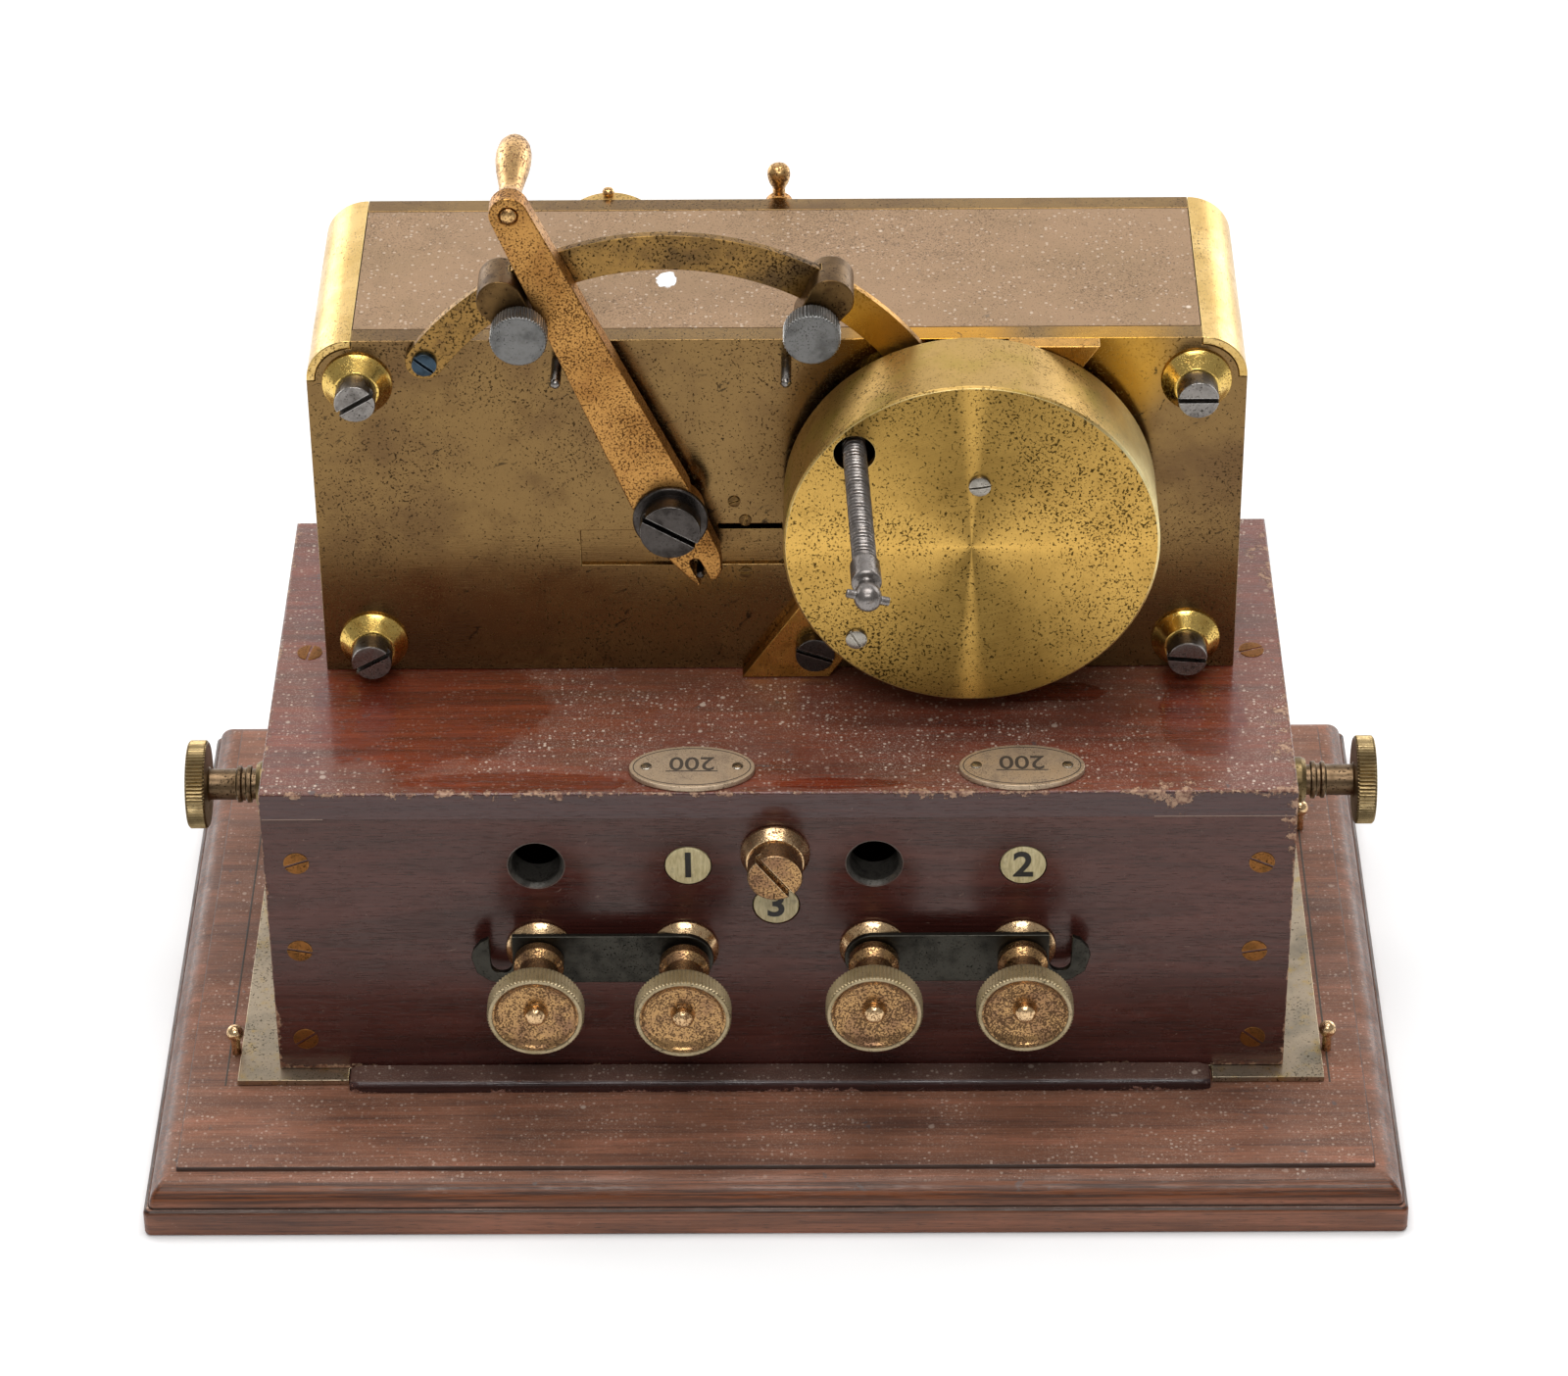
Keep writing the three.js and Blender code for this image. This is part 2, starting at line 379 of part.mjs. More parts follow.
const wind = (g) => g.rotateZ(SHAFT.tilt * rad).translate(px, SHAFT.y, pz);
const f0 = SHAFT.ball - SHAFT.y;       // ball station along the shaft, pinion at station 0
const spindle = turnedY([[0, 6], [SHAFT.inner, 6], [SHAFT.inner, -30], [SHAFT.r, -30], [SHAFT.r, f0 + 12], [3.4, f0 + 11.6], [3.7, f0 + 8], [4.3, f0 + 5.5],
  [4.3, f0 + 4], [2.2, f0 + 3.4], [2.2, f0 + 2.4], [2.9, f0 + 1], [3.1, f0 - 0.4], [2.6, f0 - 2], [1.4, f0 - 3],
  [0, f0 - 3.2]], 0, 0, 20);
const crossPin = turned([[0, -4.8], [1, -4.8], [1, 4.8], [0, 4.8]], 12).rotateZ(Math.PI / 2)
  .rotateY(-16 * rad).translate(0, f0, 0);
add('drive_shaft', wind(join(gear(GEAR.pinion, share * GEAR.pinion, -1.5, -1.5 + GEAR.face - 0.6, toPinion + 180 + 15),
  spindle, crossPin)), steel);

// ---- start lever behind the case ---------------------------------------------------------
const knob = arc(0, 199.9, 2.7, -50, 60, 6).map(([r, z]) => [r, z * 1.0]);
add('start_lever', join(flat([...arc(1.8, 192, 3.6, 0, 180, 8), ...arc(1.8, 160, 5.5, 180, 360, 10)], B + 0.4, B + 3.2),
  rod(2.1, B - 4, B + 4.6, 1.8, 160, 16),
  turnedZ([[0, 192], [2.5, 192], [2.5, 196.4], [1.7, 197.4], ...knob, [0.8, 203.1], [0, 203.2]], 1.8, B + 3.1, 16)), gold);

export default group;
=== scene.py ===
"""Looks of an automatic Morse transmitter: mahogany base and terminal box with a brass clockwork case on top.

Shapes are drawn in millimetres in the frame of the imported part. `fit` turns them into metres and puts
them on their bodies. -Y is the terminal side, +Z is up.
"""

import json
import math

import bmesh
import bpy
from mathutils import Matrix, Vector

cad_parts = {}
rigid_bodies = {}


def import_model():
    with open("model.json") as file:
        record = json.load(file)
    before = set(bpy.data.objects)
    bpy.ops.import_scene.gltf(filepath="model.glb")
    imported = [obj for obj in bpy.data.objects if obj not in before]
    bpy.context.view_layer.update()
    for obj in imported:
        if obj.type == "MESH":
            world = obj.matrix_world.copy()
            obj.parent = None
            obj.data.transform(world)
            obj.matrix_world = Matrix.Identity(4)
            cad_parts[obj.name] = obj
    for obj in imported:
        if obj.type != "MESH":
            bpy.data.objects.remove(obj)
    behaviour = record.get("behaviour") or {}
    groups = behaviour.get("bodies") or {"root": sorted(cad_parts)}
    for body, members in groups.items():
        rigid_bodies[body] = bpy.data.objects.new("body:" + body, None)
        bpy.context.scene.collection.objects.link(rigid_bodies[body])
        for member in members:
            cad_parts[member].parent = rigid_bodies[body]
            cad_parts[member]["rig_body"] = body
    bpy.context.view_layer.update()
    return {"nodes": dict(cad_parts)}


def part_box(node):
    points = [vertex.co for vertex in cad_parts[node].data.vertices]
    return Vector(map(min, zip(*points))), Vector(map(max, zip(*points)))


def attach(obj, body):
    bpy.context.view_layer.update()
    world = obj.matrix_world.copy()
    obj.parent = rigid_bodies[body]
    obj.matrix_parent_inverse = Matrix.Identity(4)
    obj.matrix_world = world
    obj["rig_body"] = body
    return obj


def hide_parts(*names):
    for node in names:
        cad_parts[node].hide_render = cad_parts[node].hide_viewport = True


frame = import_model()
MM = 0.001

# ---- finishes ----------------------------------------------------------------------------


def tone(code):
    """A colour from its hex code, as the renderer wants it."""
    parts = [int(code[k : k + 2], 16) / 255 for k in (0, 2, 4)]
    return (*[c / 12.92 if c <= 0.04045 else ((c + 0.055) / 1.055) ** 2.4 for c in parts], 1.0)


class Nodes:
    """A node tree being written. A node's inputs take plain values and other nodes' sockets alike."""

    family = "ShaderNode"

    def node(self, kind, values=None, **settings):
        made = self.tree.nodes.new(kind if "Node" in kind else self.family + kind)
        for key, value in settings.items():
            setattr(made, key, value)
        for key, value in (values or {}).items():
            self.give(value, made.inputs[key])
        return made

    def give(self, value, socket):
        if isinstance(value, bpy.types.NodeSocket):
            self.tree.links.new(value, socket)
        else:
            socket.default_value = value

    def sum(self, kind, a, b=0.0, c=0.0):
        return self.node("ShaderNodeMath", {0: a, 1: b, 2: c}, operation=kind).outputs[0]

    def times(self, a, b):
        return self.sum("MULTIPLY", a, b)

    def plus(self, a, b):
        return self.sum("ADD", a, b)

    def minus(self, a, b):
        return self.sum("SUBTRACT", a, b)

    def point(self, x=0.0, y=0.0, z=0.0):
        return self.node("ShaderNodeCombineXYZ", {0: x, 1: y, 2: z}).outputs[0]

    def parts(self, vector):
        return self.node("ShaderNodeSeparateXYZ", {0: vector}).outputs


class Finish(Nodes):
    """A surface built from nodes. Patterns read the piece's own place, in millimetres."""

    def __init__(self, name, **plain):
        self.material = bpy.data.materials.new(name)
        self.material.use_nodes = True
        self.tree = self.material.node_tree
        self.surface = self.tree.nodes["Principled BSDF"]
        source = self.node("TexCoord")
        self.place = self.vector("MULTIPLY", source.outputs["Object"], (1 / MM,) * 3)
        self.up = self.parts(source.outputs["Normal"])[2]
        for label, value in plain.items():
            self.surface.inputs[label.replace("_", " ")].default_value = value

    def vector(self, kind, a, b=(0, 0, 0)):
        return self.node("VectorMath", {0: a, 1: b}, operation=kind).outputs[0]

    def length(self, vector):
        return self.node("VectorMath", {0: vector}, operation="LENGTH").outputs["Value"]

    def from_point(self, centre, weights):
        """The way from the centre to the place, each direction weighted."""
        return self.vector("MULTIPLY", self.vector("SUBTRACT", self.place, centre), weights)

    def ring_noise(self, ring, scale, detail, rough=0.5):
        """A pattern of rings about an axis."""
        values = {"W": ring, "Scale": scale, "Detail": detail, "Roughness": rough}
        return self.node("TexNoise", values, noise_dimensions="1D").outputs["Fac"]

    def noise(self, size, detail=3.0, rough=0.6, along=(1, 1, 1), shift=0.0, twist=0.0, turn=(0, 0, 0)):
        """A cloudy pattern from 0 to 1 with blotches about `size` across, drawn out by `along`."""
        where = self.node("Mapping", {"Vector": self.place, "Rotation": turn, "Location": (shift, -shift, shift * 0.7)})
        drawn = self.vector("MULTIPLY", where.outputs[0], tuple(1 / (size * a) for a in along))
        values = {"Vector": drawn, "Scale": 1.0, "Detail": detail, "Roughness": rough, "Distortion": twist}
        return self.node("TexNoise", values).outputs["Fac"]

    def grains(self, spacing, largest, share, shift=0.0):
        """Round grains on a share of cells about `spacing` apart, each up to `largest` across its cell."""
        where = self.vector("ADD", self.place, (shift,) * 3)
        cells = self.node("TexVoronoi", {"Vector": where, "Scale": 1 / spacing, "Randomness": 1.0}).outputs
        luck = self.parts(cells["Color"])
        reach = self.times(self.step(luck[0], 1 - share, 1), largest / 2)
        return self.step(self.minus(reach, cells["Distance"]), -0.03, 0.06)

    def step(self, value, low, high, start=0.0, end=1.0):
        """Eases from start to end as value goes from low to high."""
        values = {"Value": value, "From Min": low, "From Max": high, "To Min": start, "To Max": end}
        return self.node("MapRange", values, interpolation_type="SMOOTHSTEP").outputs[0]

    def mix(self, share, a, b, kind="MIX"):
        made = self.node("Mix", data_type="RGBA", blend_type=kind)
        for value, k in ((share, 0), (a, 6), (b, 7)):
            self.give(value, made.inputs[k])
        return made.outputs[2]

    def ramp(self, value, *stops):
        made = self.node("ValToRGB", {0: value})
        dots = made.color_ramp.elements
        while len(dots) < len(stops):
            dots.new(0.5)
        for dot, (at, colour) in zip(dots, stops):
            dot.position, dot.color = at, colour
        return made.outputs[0]

    def worn(self, reach, low=0.02, high=0.25):
        """1 along the edges of a piece, 0 on its flats; reach is the width in millimetres."""
        soft = self.node("Bevel", {"Radius": reach * MM}, samples=4).outputs[0]
        hard = self.node("NewGeometry").outputs["Normal"]
        alike = self.node("VectorMath", {0: soft, 1: hard}, operation="DOT_PRODUCT").outputs["Value"]
        return self.step(self.minus(1.0, alike), low, high)

    def rim(self, low, high):
        """Millimetres to the nearest edge of the block from low to high."""
        gaps = []
        for k in range(3):
            along = self.parts(self.place)[k]
            off = self.sum("ABSOLUTE", self.minus(along, (low[k] + high[k]) / 2))
            gaps.append(self.minus((high[k] - low[k]) / 2, off))
        least, most = self.sum("MINIMUM", *gaps[:2]), self.sum("MAXIMUM", *gaps[:2])
        return self.sum("MAXIMUM", least, self.sum("MINIMUM", most, gaps[2]))

    def bump(self, height, depth):
        return self.node("Bump", {"Height": height, "Distance": depth * MM, "Strength": 1.0}).outputs[0]

    def end(self, colour, rough, **more):
        for label, value in {"Base Color": colour, "Roughness": rough, **more}.items():
            self.give(value, self.surface.inputs[label])
        return self.material


KNOCKED = Vector((80, 0, 78))  # the box's worst corner begins here: everything to the right of it and above
# SHADE_IN_CREASES is painted shade for the moulding's grooves; the rest are dust, grit, smears and scuffs.
DUST, GRIT, BLOT, SHADE_IN_CREASES, GASH = (tone(code) for code in ("96705c", "d8c6b5", "4f4a4a", "190d0a", "a88d7d"))


def timber(name, dark, mid, light, along, polish, dust, block=None, wear=1.2, chip="b08c70", painted_side_shade=None, rubbed=(),
           glow=None, grit=0.5, shaded_creases=(), **plain):
    """Polished mahogany: figure and pores along the board, dust on what faces up, chips on the block's edges.

    `painted_side_shade` is the darker colour painted as shade on the faces that don't face up, `rubbed` the (x, y, rx,
    ry) spots wiped free of dust and `glow` the darker orange-brown painted as shade on a moulding's curved shoulder;
    `grit` is how thickly the dust's grains lie and `shaded_creases` the (height, reach) of painted shade lines round a
    moulding.
    """
    f = Finish(name, **plain)
    figure = f.noise(7, 5, 0.62, [a * 9 + 1 for a in along], twist=0.7)
    streak = f.noise(0.55, 3, 0.6, [a * 60 + 1 for a in along], shift=31)
    pores = f.noise(0.24, 2, 0.5, [a * 16 + 1 for a in along], shift=77)
    colour = f.ramp(f.plus(f.times(figure, 0.6), f.times(streak, 0.4)),
                    (0.36, tone(dark)), (0.52, tone(mid)), (0.68, tone(light)))
    colour = f.mix(f.step(pores, 0.57, 0.7, 0, 0.65), colour, tone("1c0d0b"))
    rough = f.step(f.noise(12, 5, 0.65, shift=5), 0.38, 0.66, *polish)
    height = f.plus(f.times(f.step(pores, 0.5, 0.75), -0.5), f.times(streak, 0.4))
    level = f.step(f.up, 0.4, 0.9)
    # Painted shade: the faces that don't face up take a darker plum.
    if painted_side_shade:
        colour = f.mix(level, f.mix(f.step(streak, 0.3, 0.7), tone(painted_side_shade[0]), tone(painted_side_shade[1])), colour)
    scuff = f.noise(1.1, 3, 0.6, (7, 1.5, 1), shift=23, turn=(0, 0.5, 0.6), twist=1.0)
    colour = f.mix(f.step(scuff, 0.68, 0.76, 0, 0.3), colour, GASH)
    # Painted shade: the sloping shoulder of a moulding is recoloured a darker orange-brown by how steeply it faces up.
    if glow:
        slope = f.times(f.step(f.up, 0.15, 0.4), f.step(f.up, 0.84, 0.97, 1, 0))
        colour = f.mix(f.times(slope, 0.88), colour, f.mix(f.step(streak, 0.4, 0.62), tone("33190e"), tone(glow)))
    if dust:
        film = f.step(f.noise(30, 5, 0.66, shift=40), 0.3, 0.62, 0.45, 1)
        for x, y, rx, ry in rubbed:
            far = f.length(f.from_point((x, y, BOX_HIGH.z), (1 / rx, 1 / ry, 0)))
            ragged = f.plus(far, f.times(f.minus(f.noise(14, 3, 0.5, shift=x), 0.5), 1.1))
            film = f.times(film, f.step(ragged, 0.84, 1.02, 0.2, 1))
        flat = f.times(f.step(f.up, 0.82, 0.98), film)
        colour = f.mix(f.times(flat, dust), colour, DUST)
        powder = f.step(f.noise(0.42, 2, 0.6, shift=91), 0.5, 0.68, 0, 0.3)
        specks = f.times(f.grains(1.15, 0.72, 0.75, 19), 0.8)
        crumbs = f.times(f.grains(5.0, 0.34, 0.35, 7), 0.95)
        strewn = f.times(flat, f.step(f.noise(17, 3, 0.6, shift=55), 0.36, 0.6, 0.4, 1))
        bits = f.sum("MAXIMUM", powder, f.sum("MAXIMUM", specks, crumbs))
        colour = f.mix(f.times(f.times(bits, strewn), grit), colour, GRIT)
        rough = f.sum("MINIMUM", f.plus(rough, f.times(flat, 0.28)), 0.85)
        smears = f.step(f.noise(4.5, 4, 0.6, shift=12), 0.66, 0.72, 0, 0.7)
        colour = f.mix(f.times(level, smears), colour, BLOT)
    # Painted shade: dark lines round the moulding at the given heights, on faces that don't face up.
    for level_of, reach in shaded_creases:
        off = f.sum("ABSOLUTE", f.minus(f.parts(f.place)[2], level_of))
        crease_shade = f.times(f.step(off, reach * 0.4, reach, 0.85, 0), f.step(f.up, 0.9, 0.99, 1, 0))
        colour = f.mix(crease_shade, colour, SHADE_IN_CREASES)
    if block:
        chips = f.noise(3.6, 6, 0.78, shift=63)
        bites = f.noise(26, 2, 0.5, shift=36)
        reach = f.times(f.step(chips, 0.44, 0.64), f.step(bites, 0.4, 0.62, 0.4, 3.0))
        where = f.parts(f.place)
        corner = f.times(f.step(where[0], KNOCKED.x, KNOCKED.x + 20), f.step(where[2], KNOCKED.z, KNOCKED.z + 10))
        knocked = f.sum("MULTIPLY_ADD", corner, wear * 3, wear)
        near = f.minus(f.times(reach, knocked), f.rim(*block))
        bare = f.step(near, -0.2, 0.12)
        colour = f.mix(f.times(bare, 0.9), colour, f.mix(f.step(f.noise(1.2, 3), 0.4, 0.62), tone(chip),
                                                         tone("6d4330")))
        rough = f.sum("MAXIMUM", rough, f.times(bare, 0.6))
        height = f.minus(height, f.times(bare, 3.0))
    return f.end(colour, rough, Normal=f.bump(height, 0.06))


ACROSS_Y = (1, 0, 1)  # weights that leave out the way along Y


def metal(name, base, deep, stain, spots=0.0, spot_size=0.5, spot="2e2114", polish=(0.25, 0.5), brush=None,
          edge=None, edge_reach=0.35, blotch=9.0, grit=0.012, turned_at=None, flake=None, scars=False, dusted=False,
          painted_light_and_dark_patches=(), **plain):
    """Worn metal: patches of tarnish, dark pits, fine tool marks and brighter edges.

    A turned face has its rings about `turned_at`, with painted highlight beams and painted shade on its lower half
    multiplied into its colour; `flake` is where a white chip of paint sticks; `painted_light_and_dark_patches` are the
    (x, z, reach, share, colour) of painted highlights, painted shade and darker patches. The `edge` colour brightens
    worn edges and, on the nickel, also paints a highlight.
    """
    f = Finish(name, **{"Metallic": 1.0, **plain})
    patches = f.noise(blotch, 5, 0.62)
    colour = f.ramp(patches, (0.34, tone(deep)), (0.52, tone(base)), (0.7, tone(base)))
    colour = f.mix(f.step(f.noise(blotch * 0.31, 4, 0.7, shift=19), 0.5, 0.72, 0, 0.6), colour, tone(stain))
    marks = f.noise(0.16, 2, 0.5, brush or (1, 1, 1), shift=8)
    rough = f.plus(f.step(patches, 0.35, 0.65, polish[1], polish[0]), f.times(f.minus(marks, 0.5), 0.18))
    height = marks
    if spots:
        pits = f.noise(spot_size, 3, 0.65, shift=47)
        thick = f.step(f.noise(blotch * 1.6, 4, 0.7, shift=3), 0.34, 0.66, 0.062, -0.02)
        pit = f.step(f.minus(pits, thick), 0.6 - 0.1 * spots, 0.66 - 0.1 * spots)
        colour = f.mix(f.times(pit, 0.85), colour, tone(spot))
        rough = f.plus(rough, f.times(pit, 0.25))
        height = f.minus(height, f.times(pit, 1.2))
    if edge:
        rubbed = f.times(f.worn(edge_reach), f.step(f.noise(2.4, 3, 0.6, shift=29), 0.3, 0.55, 0.35, 1))
        colour = f.mix(rubbed, colour, tone(edge))
        rough = f.minus(rough, f.times(rubbed, 0.1))
    # Each patch mixes its colour in round a point: painted highlights, painted shade, and one darker patch on the
    # plate.
    for x, z, reach, share, code in painted_light_and_dark_patches:
        near = f.step(f.length(f.from_point((x, 0, z), ACROSS_Y)), reach * 0.4, reach, 1, 0)
        colour = f.mix(f.times(near, f.step(patches, 0.3, 0.6, share * 0.6, share)), colour, tone(code))
    if scars:
        scar = f.noise(2.6, 5, 0.7, (2.2, 1, 1), shift=83, turn=(0, 0.7, 0), twist=0.8)
        scar = f.times(f.step(scar, 0.62, 0.66), f.step(f.noise(24, 2, 0.5, shift=61), 0.46, 0.56))
        colour = f.mix(f.times(scar, 0.8), colour, tone("2b241b"))
    if dusted:
        fluff = f.sum("MAXIMUM", f.times(f.grains(1.2, 0.7, 0.6, 3), 0.4), f.times(f.grains(6.0, 0.22, 0.4, 9), 0.9))
        colour = f.mix(fluff, colour, tone("dccbb8"))
        stains = f.step(f.noise(3.2, 3, 0.6, shift=2), 0.7, 0.76, 0, 0.45)
        colour = f.mix(stains, colour, tone("5d5650"))
    if flake:
        far = f.plus(f.length(f.from_point((*flake, 0), (1, 0.7, 0))), f.times(f.noise(2.5, 4), 3.0))
        colour = f.mix(f.step(far, 3.7, 4.0, 1, 0), colour, tone("eef0f2"))
    more = {}
    if turned_at:
        spoke = f.from_point(turned_at, ACROSS_Y)
        more["Tangent"] = f.vector("NORMALIZE", spoke)
        ring = f.length(spoke)
        spread = f.parts(more["Tangent"])
        # Painted light on the turned face: a sideways sheen and an upright and a level beam are painted highlights, and
        # the lower half is painted darker as shade; together with the fine turned rings they multiply the colour.
        sideways = f.sum("POWER", f.sum("ABSOLUTE", spread[0]), 2.5)
        upright_beam = f.step(f.sum("ABSOLUTE", spread[0]), 0.0, 0.12, 0.55, 0)
        painted_cross_beam = f.step(f.sum("ABSOLUTE", spread[2]), 0.0, 0.2, 0.25, 0)
        sheen = f.sum("MINIMUM", f.plus(f.times(sideways, 0.75), f.plus(upright_beam, painted_cross_beam)), 1.0)
        fine = f.ring_noise(ring, 2.2, 4.0, 0.7)
        painted_low_shade = f.times(f.step(spread[2], -1.0, 0.2, 1, 0), -0.12)
        shade = f.plus(f.sum("MULTIPLY_ADD", sheen, 0.62, f.sum("MULTIPLY_ADD", fine, 0.2, 0.35)), painted_low_shade)
        colour = f.mix(1.0, colour, f.point(shade, shade, shade), "MULTIPLY")
        height = f.plus(height, f.times(f.ring_noise(ring, 5.0, 3.0), 2.0))
    return f.end(colour, rough, Normal=f.bump(height, grit), **more)


# ---- tools for shapes --------------------------------------------------------------------


class Recipe(Nodes):
    """A geometry-node tree with named sizes, grown into a plain mesh by `make`."""

    family = "GeometryNode"

    def __init__(self, name, **sizes):
        self.tree = bpy.data.node_groups.new(name, "GeometryNodeTree")
        self.tree.interface.new_socket("Geometry", in_out="OUTPUT", socket_type="NodeSocketGeometry")
        self.tree.interface.new_socket("Geometry", in_out="INPUT", socket_type="NodeSocketGeometry")
        for label, value in sizes.items():
            kind = "NodeSocketInt" if isinstance(value, int) else "NodeSocketFloat"
            self.tree.interface.new_socket(label, in_out="INPUT", socket_type=kind).default_value = value
        self.tree.interface.new_socket("Finish", in_out="INPUT", socket_type="NodeSocketMaterial")
        self.given = self.tree.nodes.new("NodeGroupInput").outputs

    def end(self, geometry):
        whole = self.node("RealizeInstances", {"Geometry": geometry}).outputs[0]
        faced = self.node("SetMaterial", {"Geometry": whole, "Material": self.given["Finish"]}).outputs[0]
        self.node("NodeGroupOutput", {0: faced})
        return self

    def make(self, mesh, finish, **sizes):
        grower = linked(bpy.data.objects.new("grower", mesh))
        modifier = grower.modifiers.new("grow", "NODES")
        modifier.node_group = self.tree
        keys = {s.name: s.identifier for s in self.tree.interface.items_tree if s.in_out == "INPUT"}
        for label, value in {**sizes, "Finish": finish}.items():
            modifier[keys[label]] = value
        return plain_mesh(grower)


def linked(thing):
    bpy.context.scene.collection.objects.link(thing)
    return thing


def plain_mesh(maker):
    """The finished mesh of an object that is then thrown away."""
    if maker.name not in bpy.context.scene.collection.objects:
        linked(maker)
    ready = maker.evaluated_get(bpy.context.evaluated_depsgraph_get())
    mesh = bpy.data.meshes.new_from_object(ready)
    bpy.data.objects.remove(maker)
    return mesh


def turned_recipe():
    """A profile of (radius, station) points spun about the axis, its widest part knurled if asked."""
    r = Recipe("turned_work", Segments=64, Knurls=0, Knurl_Depth=0.0, Knurl_From=1000.0)
    profile, segments = r.given["Geometry"], r.given["Segments"]
    count = r.node("AttributeDomainSize", {"Geometry": profile}, component="MESH").outputs["Point Count"]
    across = r.plus(segments, 1)
    grid = r.node("MeshGrid", {"Vertices X": count, "Vertices Y": across}).outputs["Mesh"]
    index = r.node("InputIndex").outputs[0]
    row = r.sum("FLOOR", r.sum("DIVIDE", r.plus(index, 0.5), across))
    column = r.minus(index, r.times(row, across))
    angle = r.times(r.sum("DIVIDE", column, segments), math.tau)
    position = r.node("InputPosition").outputs[0]
    sample = r.node("SampleIndex", data_type="FLOAT_VECTOR", domain="POINT")
    for value, key in ((profile, "Geometry"), (position, "Value"), (row, "Index")):
        r.give(value, sample.inputs[key])
    drawn = r.parts(sample.outputs[0])
    on_rim = r.sum("GREATER_THAN", drawn[0], r.given["Knurl_From"])
    wave = r.sum("MULTIPLY_ADD", r.sum("COSINE", r.times(angle, r.given["Knurls"])), 0.5, -0.5)
    cut = r.times(r.times(wave, on_rim), r.given["Knurl_Depth"])
    radius = r.plus(drawn[0], cut)
    spun = r.point(r.times(radius, r.sum("COSINE", angle)),
                   r.times(radius, r.sum("SINE", angle)), drawn[1])
    placed = r.node("SetPosition", {"Geometry": grid, "Position": spun}).outputs[0]
    closed = r.node("MergeByDistance", {"Geometry": placed, "Distance": 0.003}).outputs[0]
    return r.end(closed)


def screw_recipe(turning):
    """Slotted cheese heads, one at each point, each turned by the point's aim."""
    r = Recipe("slotted_screws", Radius=3.0, Height=1.0, Chamfer=0.3, Slot_Width=0.8, Slot_Depth=0.6, Dome=0.0,
               Sides=40)
    radius, height, chamfer = r.given["Radius"], r.given["Height"], r.given["Chamfer"]
    shoulder, low = r.minus(radius, chamfer), r.minus(height, chamfer)
    eased, soft = r.sum("MULTIPLY_ADD", chamfer, -0.3, radius), r.sum("MULTIPLY_ADD", chamfer, -0.3, height)
    top = r.plus(height, r.given["Dome"])
    mid_top = r.sum("MULTIPLY_ADD", r.given["Dome"], 0.75, height)
    corners = [(0.0, top), (r.times(shoulder, 0.5), mid_top), (shoulder, height), (eased, soft), (radius, low),
               (radius, 0.0), (0.0, 0.0)]
    line = r.node("MeshLine", {"Count": len(corners)}).outputs[0]
    pick = r.node("IndexSwitch", data_type="VECTOR")
    while len(pick.index_switch_items) < len(corners):
        pick.index_switch_items.new()
    r.give(r.node("InputIndex").outputs[0], pick.inputs["Index"])
    for k, (x, y) in enumerate(corners):
        r.give(r.point(x, y), pick.inputs[k + 1])
    outline = r.node("SetPosition", {"Geometry": line, "Position": pick.outputs[0]}).outputs[0]
    head = r.node("Group", node_tree=turning.tree)
    for label, value in (("Geometry", outline), ("Segments", r.given["Sides"])):
        r.give(value, head.inputs[label])
    knife = r.node("MeshCube", {"Size": r.point(r.times(radius, 3), r.given["Slot_Width"],
                                                            r.times(r.given["Slot_Depth"], 2))}).outputs[0]
    knife = r.node("Transform", {"Geometry": knife, "Translation": r.point(0.0, 0.0, height)}).outputs[0]
    cut = r.node("MeshBoolean", operation="DIFFERENCE", solver="EXACT")
    r.give(head.outputs[0], cut.inputs[0])
    r.give(knife, cut.inputs[1])
    aim = r.node("InputNamedAttribute", {"Name": "aim"}, data_type="FLOAT_VECTOR").outputs[0]
    turn = r.node("FunctionNodeEulerToRotation", {0: aim}).outputs[0]
    return r.end(r.node("InstanceOnPoints", {"Points": r.given["Geometry"], "Instance": cut.outputs[0],
                                                         "Rotation": turn}).outputs[0])


def spring_recipe():
    """A close-wound round-wire spring along Z."""
    r = Recipe("close_wound_spring", Turns=50.0, Coil=2.3, Wire=0.5, Length=50.0)
    path = r.node("CurveSpiral", {"Resolution": 28, "Rotations": r.given["Turns"], "Start Radius": r.given["Coil"],
                                              "End Radius": r.given["Coil"], "Height": r.given["Length"]}).outputs[0]
    wire = r.node("CurvePrimitiveCircle", {"Resolution": 8, "Radius": r.given["Wire"]}).outputs[0]
    swept = r.node("CurveToMesh", {"Curve": path, "Profile Curve": wire, "Fill Caps": True}).outputs[0]
    return r.end(swept)


def pin_recipe():
    """Ball-headed pins, one standing on each point."""
    r = Recipe("ball_pins", Ball=2.15, Shank=1.15, Centre=6.3)
    ball = r.node("MeshUVSphere", {"Segments": 28, "Rings": 18, "Radius": r.given["Ball"]}).outputs[0]
    ball = r.node("Transform", {"Geometry": ball, "Translation": r.point(0.0, 0.0, r.given["Centre"])}).outputs[0]
    shank = r.node("MeshCylinder", {"Vertices": 20, "Radius": r.given["Shank"], "Depth": r.given["Centre"]}).outputs[0]
    half = r.times(r.given["Centre"], 0.5)
    shank = r.node("Transform", {"Geometry": shank, "Translation": r.point(0.0, 0.0, half)}).outputs[0]
    both = r.node("MeshBoolean", operation="UNION", solver="EXACT")
    for piece in (ball, shank):
        r.give(piece, both.inputs[1])
    return r.end(r.node("InstanceOnPoints", {"Points": r.given["Geometry"], "Instance": both.outputs[0]}).outputs[0])


TURNING = turned_recipe()
SCREWS = screw_recipe(TURNING)
SPRING = spring_recipe()
PINS = pin_recipe()


